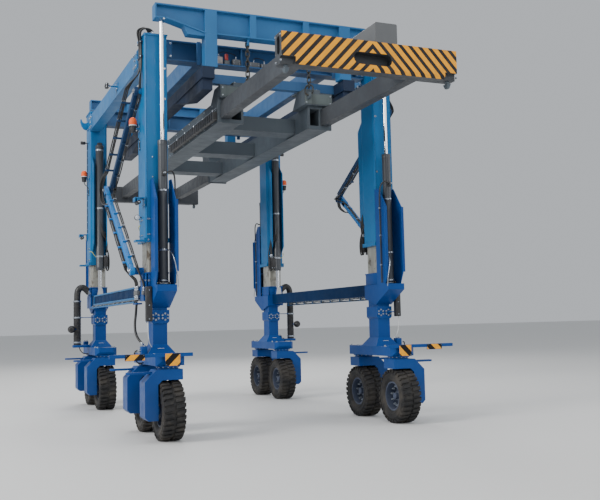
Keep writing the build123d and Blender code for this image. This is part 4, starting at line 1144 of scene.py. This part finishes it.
def mast_small_lamp(piece):
    """A small round lamp low on the mast, looking along the machine."""
    piece.bar((MAST_SIDE, 2.47, 3.262), (2.16, 2.5, 3.272), 1, 0.002, 1)
    body = (
        (0, -0.05), (0.03, -0.048), (0.04, -0.03), (0.043, 0), (0.043, 0.012), (0.038, 0.014), (0, 0.014),
    )
    piece.turn(body, 24, along((2.172, 2.5, 3.262), ENDWARDS), 1)
    glass = ((0, 0), (0.036, 0), (0.034, 0.006), (0.018, 0.01), (0, 0.011))
    piece.turn(glass, 24, along((2.172, 2.514, 3.262), ENDWARDS), 0)


def mast_plates(piece):
    """A mast's lid, the bolts of its wear pads and collar, and the bolts and seams up its end face."""
    piece.bar((1.747, 2.302, 6.036), (2.113, 2.778, 6.051), 0, 0.004)
    for z in (2.985, 3.215):
        piece.bolts([(x, MAST_END, z) for x in (1.792, 1.815, 2.045, 2.068)], ENDWARDS, 0.02, 0.012, 1)
        piece.bolts([(MAST_SIDE, y, z) for y in (2.36, 2.4, 2.52, 2.56)], OUT, 0.02, 0.012, 1)
    for z in (3.69, 4.11, 5.05, 5.52):
        piece.bolts([(1.8, MAST_END, z)], ENDWARDS, 0.026, 0.016, 1)
    piece.bolts([(x, 2.795, 2.9) for x in (1.79, 1.98, 2.07)], ENDWARDS, 0.022, 0.012, 1)
    for x in (1.774, 2.086):
        piece.rod((x, 2.7695, 2.94), (x, 2.7695, 6.03), 0.01, 0, 0.001, 6)


def work_light(piece):
    """A work light on a tube from a bolted plate, with a finned back and a clear front."""
    piece.bolted_plate((MAST_SIDE, -0.71, 5.71), (2.115, -0.57, 5.85), OUT, 2, 3, 0.016, 0.02)
    piece.rod((2.11, -0.64, 5.78), (2.262, -0.64, 5.78), 0.024, 2)
    piece.bar((2.25, -0.7, 5.772), (2.32, -0.58, 5.788), 1)
    for y in (-0.7, -0.585):
        piece.bar((2.272, y, 5.74), (2.298, y + 0.005, 5.82), 1, 0.002, 1)
    piece.bar((2.255, -0.69, 5.736), (2.315, -0.59, 5.824), 1, 0.012, 3)
    for n in range(6):
        z = 5.744 + 0.0135 * n
        piece.bar((2.262, -0.594, z), (2.308, -0.576, z + 0.004), 1, 0.001, 1)
    piece.bar((2.262, -0.694, 5.743), (2.308, -0.688, 5.817), 0, 0.004)


beacons = make_piece(
    "beacon_lamps", "upper_frame", "amber_lens", at_legs(beacon, ALL_LEGS), amber_glass, black_plastic,
    mast_blue, plated, white_plate,
)
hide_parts("beacons")
lights = make_piece(
    "work_lights", "upper_frame", "black_paint", at_legs(work_light, REAR_LEGS), lamp_glass,
    black_plastic, mast_blue, plated,
)
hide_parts("work_lamps")
for name, slot, draw, legs, *finishes in (
    ("mast_brackets", "blue_paint", mast_bracket, ALL_LEGS, mast_blue, plated, black_plastic),
    ("mast_lamps", "black_paint", mast_small_lamp, FRONT_LEGS, lamp_glass, black_plastic),
    ("mast_plates", "blue_paint", mast_plates, ALL_LEGS, mast_blue, plated),
):
    make_piece(name, "upper_frame", slot, at_legs(draw, legs), *finishes)


# Cylinders
def hoop(low, high, bore, radius):
    """A hoop about Z between two heights."""
    eased = radius - 0.002
    profile = (
        (bore, low), (eased, low), (radius, low + 0.002), (radius, high - 0.002), (eased, high), (bore, high),
        (bore, low),
    )
    return turned(profile, 36)


def lift_barrel(piece):
    """A lift cylinder's bored barrel: gland, clamp bands, bright foot ring, clevis, port, hose and pipe."""
    middle = Matrix.Translation((LEG_X, CYLINDER_Y, 0))
    shell = (
        (0, 2.27), (0.062, 2.27), (0.066, 2.274), (0.068, 2.3), (0.068, 4.3), (0.072, 4.304),
        (0.072, 4.362), (0.068, 4.37), (0.034, 4.37), (0.034, 4.3), (0.054, 4.29), (0.054, 2.336),
        (0, 2.336),
    )
    piece.turn(shell, 40, middle, 0)
    piece.add(hoop(2.272, 2.298, 0.064, 0.073), middle, 1)
    for z in (2.722, 3.604):
        piece.add(hoop(z, z + 0.028, 0.066, 0.0725), middle, 1)
        piece.bar((1.873, 3.01, z), (1.897, 3.04, z + 0.028), 1)
        piece.bolts([(1.897, 3.028, z + 0.014)], OUT, 0.014, 0.01, 1)
    for x0, x1 in ((1.795, 1.825), (1.945, 1.975)):
        piece.bar((x0, 2.895, 2.2205), (x1, 3.0, 2.268), 2, 0.006)
    piece.rod((1.78, 2.948, 2.246), (1.99, 2.948, 2.246), 0.04, 1, 0.004)
    piece.bar((1.855, 2.998, 3.83), (1.915, 3.04, 3.9), 2, 0.005)
    hose = (
        (1.885, 3.045, 3.866), (1.845, 3.072, 3.872), (1.78, 3.066, 3.905), (1.726, 3.02, 3.85),
        (1.71, 2.992, 3.7), (1.716, 2.985, 3.3), (1.716, 2.985, 2.6), (1.714, 2.99, 2.24),
    )
    piece.pipe(hose, 0.024, 3)
    piece.hose_end((1.885, 3.058, 3.866), ENDWARDS, 0.022, 1)
    line = (
        (1.818, 2.99, 2.736), (1.8, 3.05, 2.7), (1.79, 3.11, 2.66), (1.776, 3.172, 2.58),
        (1.75, 3.176, 2.44), (1.725, 3.172, 2.3), (1.722, 3.16, 2.18),
    )
    piece.pipe(line, 0.015, 1)
    for z in (2.52, 3.0, 3.45):
        piece.bar((1.7, 2.97, z), (1.7395, 3.0, z + 0.026), 1)


def raise_barrel(piece):
    """A raise cylinder's bored barrel on the mast, its saddle, valve block, hoses and sensor cable."""
    middle = Matrix.Translation((MAST_X, 2.2, 0))
    shell = (
        (0.042, 2.76), (0.076, 2.76), (0.08, 2.766), (0.08, 2.83), (0.077, 2.836), (0.077, 5.262),
        (0.08, 5.268), (0.08, 5.31), (0.074, 5.318), (0, 5.318), (0, 5.25), (0.062, 5.25),
        (0.062, 2.85), (0.042, 2.84), (0.042, 2.76),
    )
    piece.turn(shell, 40, middle, 0)
    for z in (3.02, 4.0, 5.2):
        piece.add(hoop(z, z + 0.034, 0.076, 0.082), middle, 1)
    piece.bar((1.868, 2.262, 5.17), (1.992, 2.314, 5.262), 4, 0.005)
    piece.bar((1.884, 2.15, 5.316), (1.976, 2.25, 5.372), 2, 0.008)
    piece.bar((1.904, 2.24, 5.33), (1.956, 2.314, 5.42), 4, 0.005)
    piece.bolted_plate((1.77, 2.14, 2.8), (1.858, 2.262, 3.06), (0, -1, 0), 2, 1, 0.014, 0.018)
    for n, (x, y) in enumerate(((1.796, 2.166), (1.796, 2.204), (1.796, 2.24))):
        piece.hose_end((x, y, 3.072), UP, 0.022, 1)
        route = (
            (x, y, 3.11), (x - 0.01, y, 3.2 + 0.05 * n), (x - 0.004, y - 0.02, 3.34 + 0.05 * n),
            (x + 0.04, 2.128, 3.42 + 0.05 * n), (x + 0.09, 2.108, 3.47 + 0.04 * n),
            (x + 0.12, 2.112, 3.56 + 0.04 * n), (x + 0.12, 2.116, 3.7),
        )
        piece.pipe(route, 0.024, 3)
    for n in range(2):
        y = 2.17 + 0.05 * n
        loop = (
            (1.8, y, 2.802), (1.796, y, 2.76), (1.762, y + 0.004, 2.752), (1.744, y + 0.01, 2.84),
            (1.742, y + 0.02, 3.0), (1.75, 2.268, 3.15), (1.79, 2.29, 3.26), (1.826, 2.292, 3.5),
        )
        piece.pipe(loop, 0.02, 3)
    cable = (
        (2.004, 2.19, 3.03), (2.04, 2.168, 3.05), (2.08, 2.18, 3.12), (2.098, 2.24, 3.15),
        (2.109, 2.33, 3.14), (2.11, 2.42, 3.15),
    )
    piece.pipe(cable, 0.009, 5, 6)


def post_socket(piece):
    """The socket on the head that the inner post stands in, with its rims and bolts."""
    low, high = 2.2205, 2.42
    x_low, x_high, y_low, y_high = 1.765, 2.0945, 2.322, 2.758
    for x0, x1 in ((x_low, 1.786), (2.074, x_high)):
        piece.bar((x0, y_low, low), (x1, y_high, high), 0, 0.004)
    for y0, y1 in ((y_low, 2.341), (2.739, y_high)):
        piece.bar((x_low, y0, low), (x_high, y1, high), 0, 0.004)
    for y0, y1 in ((2.738, 2.768), (2.312, 2.342)):
        piece.bar((1.757, y0, high - 0.022), (2.103, y1, high), 0, 0.004)
    piece.bolts([(x, y_high, 2.3) for x in (1.8, 1.87, 1.99, 2.06)], ENDWARDS, 0.026, 0.015, 1)
    piece.bolts([(x_high, y, 2.3) for y in (2.35, 2.7)], OUT, 0.026, 0.015, 1)


for side, legs, across in SIDES:
    body = f"{side}_lower_frame"
    barrels = make_piece(
        f"lift_cylinders_{side}", body, "black_paint", at_legs(lift_barrel, legs), barrel_black, plated,
        black_plastic, hose_black,
    )
    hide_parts(f"lift_barrels_{side}")
    make_piece(f"post_sockets_{side}", body, "blue_paint", at_legs(post_socket, legs), leg_blue, plated)
barrels = make_piece(
    "raise_cylinders", "upper_frame", "black_paint", at_legs(raise_barrel, ALL_LEGS), barrel_black, plated,
    black_plastic, hose_black, mast_blue, wire_yellow,
)
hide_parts("raise_barrels")


# Tie beams and lower legs
def tie_frame(piece):
    """Half a tie beam's outboard side: the pale bars round its panel, whose dark navy is painted shade, and
    the pipes under it.
    """
    piece.bar((2.068, -0.005, 2.214), (2.084, 2.02, 2.242))
    piece.bar((2.068, -0.005, 2.04), (2.09, 2.02, 2.074))
    piece.bar((2.068, 1.992, 2.044), (2.084, 2.02, 2.238))
    piece.bar((2.072, -0.005, 1.984), (2.142, 2.06, 1.992), 0, 0.002, 1)
    piece.bar((2.136, -0.005, 1.984), (2.142, 2.06, 2.006), 0, 0.002, 1)
    for n in range(5):
        y = 0.2 + 0.43 * n
        piece.bar((2.06, y, 1.986), (2.073, y + 0.026, 2.052), 0, 0.002, 1)
        piece.bar((2.074, y, 2.01), (2.136, y + 0.02, 2.02), 1, 0.002, 1)
        piece.bolts([(2.066, y + 0.013, 2.03)], OUT, 0.012, 0.008, 1)
    for n in range(4):
        x = 2.084 + 0.014 * n
        line = ((x, 0.0, 2.001), (x + 0.002, 0.6, 2.002), (x - 0.002, 1.3, 2.001), (x, 2.0, 2.003))
        piece.pipe(line, 0.012, 1 if n % 2 else 2)
    line = ((2.094, 0.0, 2.026), (2.1, 0.7, 2.032), (2.092, 1.4, 2.028), (2.094, 2.05, 2.034))
    piece.pipe(line, 0.018, 3)


def leg_fittings(piece):
    """What every leg has: plates on the flare's end faces, table bolts, and a gearbox of the steering."""
    for y, out in ((2.742, 1), (2.338, -1)):
        low, high = (y, y + 0.006) if out > 0 else (y - 0.006, y)
        piece.bolted_plate((1.835, low, 1.252), (1.935, high, 1.297), (0, out, 0), 3, 1, 0.01, 0.008)
    for y in (1.8, 2.06, 3.02, 3.28):
        piece.bolts([(x, y, TABLE_TOP) for x in (1.72, 2.05)], UP, 0.034, 0.02, 1)
    piece.bar((2.088, 2.64, 1.212), (2.18, 2.76, 1.33), 0, 0.01, 3)
    for x in (2.112, 2.156):
        piece.bolts([(x, 2.7, 1.328)], UP, 0.03, 0.02, 1)
    piece.hose_end((2.178, 2.7, 1.27), OUT, 0.024, 1)
    hose = (
        (2.23, 2.7, 1.27), (2.262, 2.7, 1.266), (2.27, 2.68, 1.2), (2.24, 2.62, 1.12),
        (2.17, 2.58, 1.07), (2.11, 2.56, 1.085),
    )
    piece.pipe(hose, 0.02, 2)


def turntable_fittings(piece):
    """The bolts round a slewing ring's flange, between the table and the wheel arm."""
    for y in WHEEL_YS:
        piece.add(hoop(1.044, 1.06, 0.148, 0.176), Matrix.Translation((LEG_X, y, 0)))
        piece.bolts(circle((LEG_X, y, 1.045), 0.162, 14, "Z"), (0, 0, -1), 0.016, 0.01, 1)


DUCT_X = 2.335
DUCT_Y = 2.5


def rear_duct(piece):
    """The ribbed duct down the outboard side of a rear leg, its elbow, clamp, foot and round lamp."""
    middle = Matrix.Translation((DUCT_X, DUCT_Y, 0))
    outline = [(0, 1.262), (0.07, 1.262)]
    for n in range(29):
        z = 1.275 + 0.03 * n
        outline += [(0.076, z), (0.076, z + 0.01), (0.07, z + 0.016), (0.07, z + 0.026)]
    outline += [(0.07, 2.15), (0, 2.15)]
    piece.turn(outline, 24, middle, 0)
    elbow = (
        (DUCT_X, DUCT_Y, 2.13), (DUCT_X, DUCT_Y, 2.24), (2.33, DUCT_Y, 2.33), (2.3, DUCT_Y, 2.4),
        (2.24, DUCT_Y, 2.43), (2.17, DUCT_Y, 2.4), (2.1, DUCT_Y, 2.32),
    )
    piece.pipe(elbow, 0.128, 1, 14)
    for z in (1.3, 1.8, 2.128):
        piece.add(hoop(z, z + 0.03, 0.069, 0.08), middle, 2)
    piece.add(hoop(0, 0.024, 0.05, 0.072), along((2.096, DUCT_Y, 2.318), (1, 0, 0.15)), 2)
    piece.bar((1.99, 2.475, 1.808), (2.312, 2.525, 1.822), 3)
    piece.bar((2.088, 2.425, 1.212), (2.425, 2.575, 1.262), 3, 0.008)
    piece.rod((2.36, 2.45, 1.58), (2.44, 2.4, 1.58), 0.024, 3)
    shell = (
        (0, -0.045), (0.04, -0.043), (0.066, -0.02), (0.074, 0.01), (0.074, 0.03), (0.068, 0.034), (0, 0.034),
    )
    lamp = along((2.46, 2.4, 1.58), ENDWARDS)
    piece.turn(shell, 28, lamp, 1)
    glass = ((0, 0.034), (0.062, 0.034), (0.058, 0.04), (0.03, 0.046), (0, 0.047))
    piece.turn(glass, 28, lamp, 4)


for side, legs, across in SIDES:
    body = f"{side}_lower_frame"
    for name, slot, draw, *finishes in (
        ("tie_frame", "blue_paint", tie_frame, frame_blue, plated, hose_black, box_grey),
        ("leg_fittings", "chain_steel", leg_fittings, leg_blue, plated, hose_black, white_plate),
        ("turntable_bolts", "chain_steel", turntable_fittings, leg_blue, plated),
    ):
        make_piece(f"{name}_{side}", body, slot, at_legs(draw, legs), *finishes)
    duct = at_legs(rear_duct, ((across, 1),))
    make_piece(
        f"rear_duct_{side}", body, "black_paint", duct, black_plastic, hose_black, plated, leg_blue,
        lamp_glass,
    )


# Upper frame, lift frame and spreader
def mast_hook(piece):
    """The curved horn on a rear mast's outboard face, the small lamp under it, and a clipped cable."""
    outline = (
        (2.1, 5.7), (2.16, 5.69), (2.205, 5.712), (2.244, 5.768), (2.268, 5.848), (2.266, 5.912),
        (2.246, 5.92), (2.228, 5.872), (2.196, 5.836), (2.15, 5.842), (2.1, 5.87),
    )
    horn = bmesh.new()
    face = horn.faces.new([horn.verts.new((x, 2.5, z)) for x, z in outline])
    grown = bmesh.ops.extrude_face_region(horn, geom=[face])
    moved = [part for part in grown["geom"] if isinstance(part, bmesh.types.BMVert)]
    bmesh.ops.translate(horn, vec=(0, 0.03, 0), verts=moved)
    ease(horn, horn.edges[:], 0.004, 2)
    piece.add(horn)
    piece.bolted_plate((MAST_SIDE, 2.44, 5.68), (2.115, 2.59, 5.89), OUT, 0, 1, 0.018, 0.024)
    piece.rod((MAST_SIDE, 2.52, 5.42), (2.17, 2.52, 5.42), 0.022, 2)
    lamp = ((0, 0), (0.026, 0.002), (0.034, 0.02), (0.036, 0.09), (0.03, 0.1), (0, 0.1))
    piece.turn(lamp, 20, along((2.16, 2.52, 5.42), OUT), 2)
    line = ((2.112, 2.6, 5.42), (2.112, 2.6, 5.0), (2.112, 2.602, 4.3), (2.112, 2.6, 3.56))
    piece.pipe(line, 0.013, 2, 6)
    for n in range(12):
        z = 3.62 + 0.15 * n
        piece.bar((MAST_SIDE, 2.588, z), (2.121, 2.612, z + 0.016), 1, 0.003, 1)


def frame_joints(piece):
    """The bolted joints of the upper frame's beams and masts."""
    piece.bolted_plate((MAST_SIDE, 2.03, 5.65), (2.115, 2.29, 5.91), OUT, 0, 1, 0.03, 0.035)
    piece.bolts([(2.115, 2.16, z) for z in (5.685, 5.78, 5.875)], OUT, 0.03, 0.018, 1)
    piece.bolted_plate((1.6, 2.475, 5.79), (1.75, 2.487, 6.05), ENDWARDS, 2, 1, 0.026, 0.03)
    piece.bolts([(1.995, MAST_END, z) for z in (3.85, 4.15)], ENDWARDS, 0.015, 0.009, 1)
    piece.bolts([(1.869, 3.045, 6.2)], ENDWARDS, 0.022, 0.013, 1)


def side_beam_pipes(piece):
    """Half a side beam's hydraulic pipes on its inboard face, with their clips."""
    for n in range(3):
        z = 5.7 + 0.034 * n
        line = ((1.893, 0, z), (1.893, 0.9, z), (1.893, 1.9, z), (1.893, 2.2, z))
        piece.pipe(line, 0.016, n % 2, 6)
    for n in range(5):
        y = 0.2 + 0.45 * n
        piece.bar((1.88, y, 5.686), (1.9055, y + 0.024, 5.786), 1)


def front_boxes(piece):
    """The boxes on the front cross beam's lower flange, a red canister among them, and their cables."""
    for x0, x1, top, paint in (
        (-0.88, -0.77, 5.9, 0), (-0.6, -0.47, 5.88, 1), (-0.32, -0.14, 5.86, 1),
        (-0.12, 0.03, 5.85, 1),
    ):
        piece.bar((x0, -2.472, 5.782), (x1, -2.385, top), paint, 0.008, 3)
        low, high = (x0 + 0.008, -2.477, 5.796), (x1 - 0.008, -2.471, top - 0.012)
        piece.bolted_plate(low, high, (0, -1, 0), paint, 3, 0.01, 0.012)
        piece.hose_end(((x0 + x1) / 2, -2.43, top + 0.01), UP, 0.016, 3)
    piece.bar((-0.74, -2.47, 5.782), (-0.655, -2.4, 5.85), 1, 0.006)
    piece.rod((-0.698, -2.436, 5.848), (-0.698, -2.436, 5.962), 0.062, 2, 0.012, 24)
    cable = (
        (-0.825, -2.43, 5.95), (-0.79, -2.425, 6.0), (-0.64, -2.415, 5.99), (-0.535, -2.428, 5.96),
        (-0.532, -2.43, 5.93),
    )
    piece.pipe(cable, 0.012, 4, 6)
    line = (
        (-0.23, -2.43, 5.91), (-0.225, -2.426, 5.945), (-0.14, -2.42, 5.95), (-0.05, -2.428, 5.93),
        (-0.045, -2.43, 5.9),
    )
    piece.pipe(line, 0.012, 4, 6)


CHAIN_X = 0.52
LINK_PITCH = 0.08


def chain_link(bar, half_width, half_length):
    """An oval link about X, drawn round the origin and standing up Z."""
    angles = [tau * n / 8 for n in range(9)]
    shape = turned([(half_width + bar * cos(angle) / 2, bar * sin(angle) / 2) for angle in angles], 16)
    swing(shape, pi / 2, "X")
    for vert in shape.verts:
        vert.co.z += (half_length - half_width) * (1 if vert.co.z > 0 else -1)
    return shape


def lift_chain(piece):
    """A chain from the lifting beam to the spreader: shackle, links, and the big ring on its lug."""
    piece.bar((CHAIN_X - 0.012, 2.905, 5.985), (CHAIN_X + 0.012, 2.985, 6.052), 0, 0.004)
    piece.rod((CHAIN_X - 0.036, CYLINDER_Y, 6.006), (CHAIN_X + 0.036, CYLINDER_Y, 6.006), 0.022, 1, 0.002, 12)
    turn = Matrix.Rotation(pi / 2, 4, "Z")
    piece.add(chain_link(0.018, 0.03, 0.05), Matrix.Translation((CHAIN_X, CYLINDER_Y, 5.975)))
    for n in range(7):
        z = 5.905 - LINK_PITCH * n
        place = Matrix.Translation((CHAIN_X, CYLINDER_Y, z))
        piece.add(chain_link(0.021, 0.029, 0.052), place @ turn if n % 2 == 0 else place)
    place = Matrix.Translation((CHAIN_X, CYLINDER_Y, 5.345)) @ Matrix.Rotation(radians(48), 4, "Z")
    piece.add(chain_link(0.028, 0.07, 0.082), place)


def spreader_details(piece):
    """A pedestal's end plate and top cover, the bolts down the girder's side, and its pipes in clips."""
    piece.bolted_plate((0.47, 2.8845, 5.135), (0.94, 2.892, 5.3), ENDWARDS, 0, 1, 0.02, 0.024)
    piece.bar((0.456, 2.372, 5.366), (0.744, 2.878, 5.376))
    piece.bolts([(x, y, 5.376) for x in (0.5, 0.7) for y in (2.42, 2.625, 2.83)], UP, 0.026, 0.014, 1)
    for n in range(6):
        y = 0.24 + 0.44 * n
        piece.bolts([(0.95, y, z) for z in (4.8, 5.08)], OUT, 0.022, 0.012, 1)
    for z in (4.96, 4.99):
        line = ((0.962, 0, z), (0.962, 0.9, z), (0.962, 1.8, z), (0.962, 2.7, z))
        piece.pipe(line, 0.014, 1, 6)
    for n in range(5):
        y = 0.3 + 0.55 * n
        piece.bar((0.949, y, 4.946), (0.974, y + 0.022, 5.004), 1, 0.003, 1)


def end_beam_details(piece):
    """The lugs and bolts along an end beam's top, and the bolts on its end faces."""
    for x in (0.2, 0.56, 0.92):
        piece.bar((x - 0.03, 5.96, 5.084), (x + 0.03, 5.972, 5.128), 0, 0.004)
    piece.bolts([(x, 5.89, 5.085) for x in (0.12, 0.38, 0.64, 0.9, 1.14)], UP, 0.022, 0.012, 1)
    piece.bolts([(1.219, y, z) for y in (5.915, 6.07) for z in (4.74, 5.05)], OUT, 0.022, 0.012, 1)


for name, slot, draw, legs, *finishes in (
    ("mast_hooks", "blue_paint", mast_hook, REAR_LEGS, mast_blue, plated, black_plastic),
    ("frame_joints", "chain_steel", frame_joints, ALL_LEGS, mast_blue, plated, shadow_blue),
    ("side_beam_pipes", "black_paint", side_beam_pipes, ALL_LEGS, hose_black, plated),
):
    make_piece(name, "upper_frame", slot, at_legs(draw, legs), *finishes)
make_piece(
    "front_boxes", "upper_frame", "grey_box", drawn(front_boxes), pale_enamel, box_grey, red_enamel, plated,
    hose_black,
)
lift_chains = make_piece(
    "lift_chains", "lift_frame", "chain_steel", at_legs(lift_chain, ALL_LEGS), forged, plated
)
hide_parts("chains")
make_piece(
    "spreader_details", "lift_frame", "grey_paint", at_legs(spreader_details, ALL_LEGS), pedestal_grey, plated
)
for end, legs in (("front", FRONT_LEGS), ("rear", REAR_LEGS)):
    make_piece(
        f"end_beam_details_{end}", f"spreader_{end}", "grey_paint", at_legs(end_beam_details, legs),
        spreader_grey, plated,
    )


# Studio and camera
LIT_SPOT = Vector((0.0, 0.0, 3.0))
CAMERA_SPOT = Vector((-4.9, -15.19, 1.66))
FOCAL_LENGTH = 50.97
SENSOR_WIDTH = 36.0


def studio():
    """A plain pale floor, a pale surround and soft lights."""
    shape = bmesh.new()
    bmesh.ops.create_grid(shape, x_segments=1, y_segments=1, size=150.0)
    mesh = bpy.data.meshes.new("studio_floor")
    shape.to_mesh(mesh)
    shape.free()
    floor = bpy.data.objects.new("studio_floor", mesh)
    bpy.context.scene.collection.objects.link(floor)
    concrete = Finish("pale_floor")
    concrete.even("Base Color", (0.66, 0.66, 0.65, 1))
    concrete.even("Roughness", 0.75)
    mesh.materials.append(concrete.material)

    world = bpy.data.worlds.new("pale_surround")
    world.use_nodes = True
    background = world.node_tree.nodes["Background"]
    background.inputs["Color"].default_value = (0.86, 0.9, 0.95, 1)
    background.inputs["Strength"].default_value = 0.62
    bpy.context.scene.world = world

    lights = (
        ("key_light", (-22.0, -6.0, 14.0), 10.0, 4600.0, (1.0, 0.985, 0.96)),
        ("front_light", (-2.0, -20.0, 11.0), 10.0, 900.0, (1.0, 0.99, 0.98)),
        ("fill_light", (15.0, -12.0, 8.0), 10.0, 700.0, (0.95, 0.97, 1.0)),
        ("back_light", (4.0, 16.0, 14.0), 9.0, 1400.0, (1.0, 0.99, 0.97)),
        ("top_light", (-2.0, 0.0, 17.0), 10.0, 1100.0, (1.0, 1.0, 1.0)),
    )
    for name, spot, size, power, colour in lights:
        light = bpy.data.lights.new(name, "AREA")
        light.shape = "DISK"
        light.size = size
        light.energy = power
        light.color = colour
        holder = bpy.data.objects.new(name, light)
        holder.location = spot
        holder.rotation_euler = (LIT_SPOT - Vector(spot)).to_track_quat("-Z", "Y").to_euler()
        bpy.context.scene.collection.objects.link(holder)


def photograph_camera():
    """The camera of the photograph: low, close to the front left corner, looking a little up."""
    yaw, pitch, roll = radians(23.0), radians(4.73), radians(-1.29)
    ahead = Vector((sin(yaw) * cos(pitch), cos(yaw) * cos(pitch), sin(pitch)))
    right = Vector((cos(yaw), -sin(yaw), 0.0))
    up = right.cross(ahead)
    rolled_right = right * cos(roll) + up * sin(roll)
    rolled_up = up * cos(roll) - right * sin(roll)
    turn = Matrix((rolled_right, rolled_up, -ahead)).transposed().to_4x4()
    lens = bpy.data.cameras.new("camera")
    lens.sensor_fit = "HORIZONTAL"
    lens.sensor_width = SENSOR_WIDTH
    lens.lens = FOCAL_LENGTH
    lens.clip_end = 400.0
    camera = bpy.data.objects.new("camera", lens)
    camera.matrix_world = Matrix.Translation(CAMERA_SPOT) @ turn
    bpy.context.scene.collection.objects.link(camera)
    bpy.context.scene.camera = camera


studio()
photograph_camera()
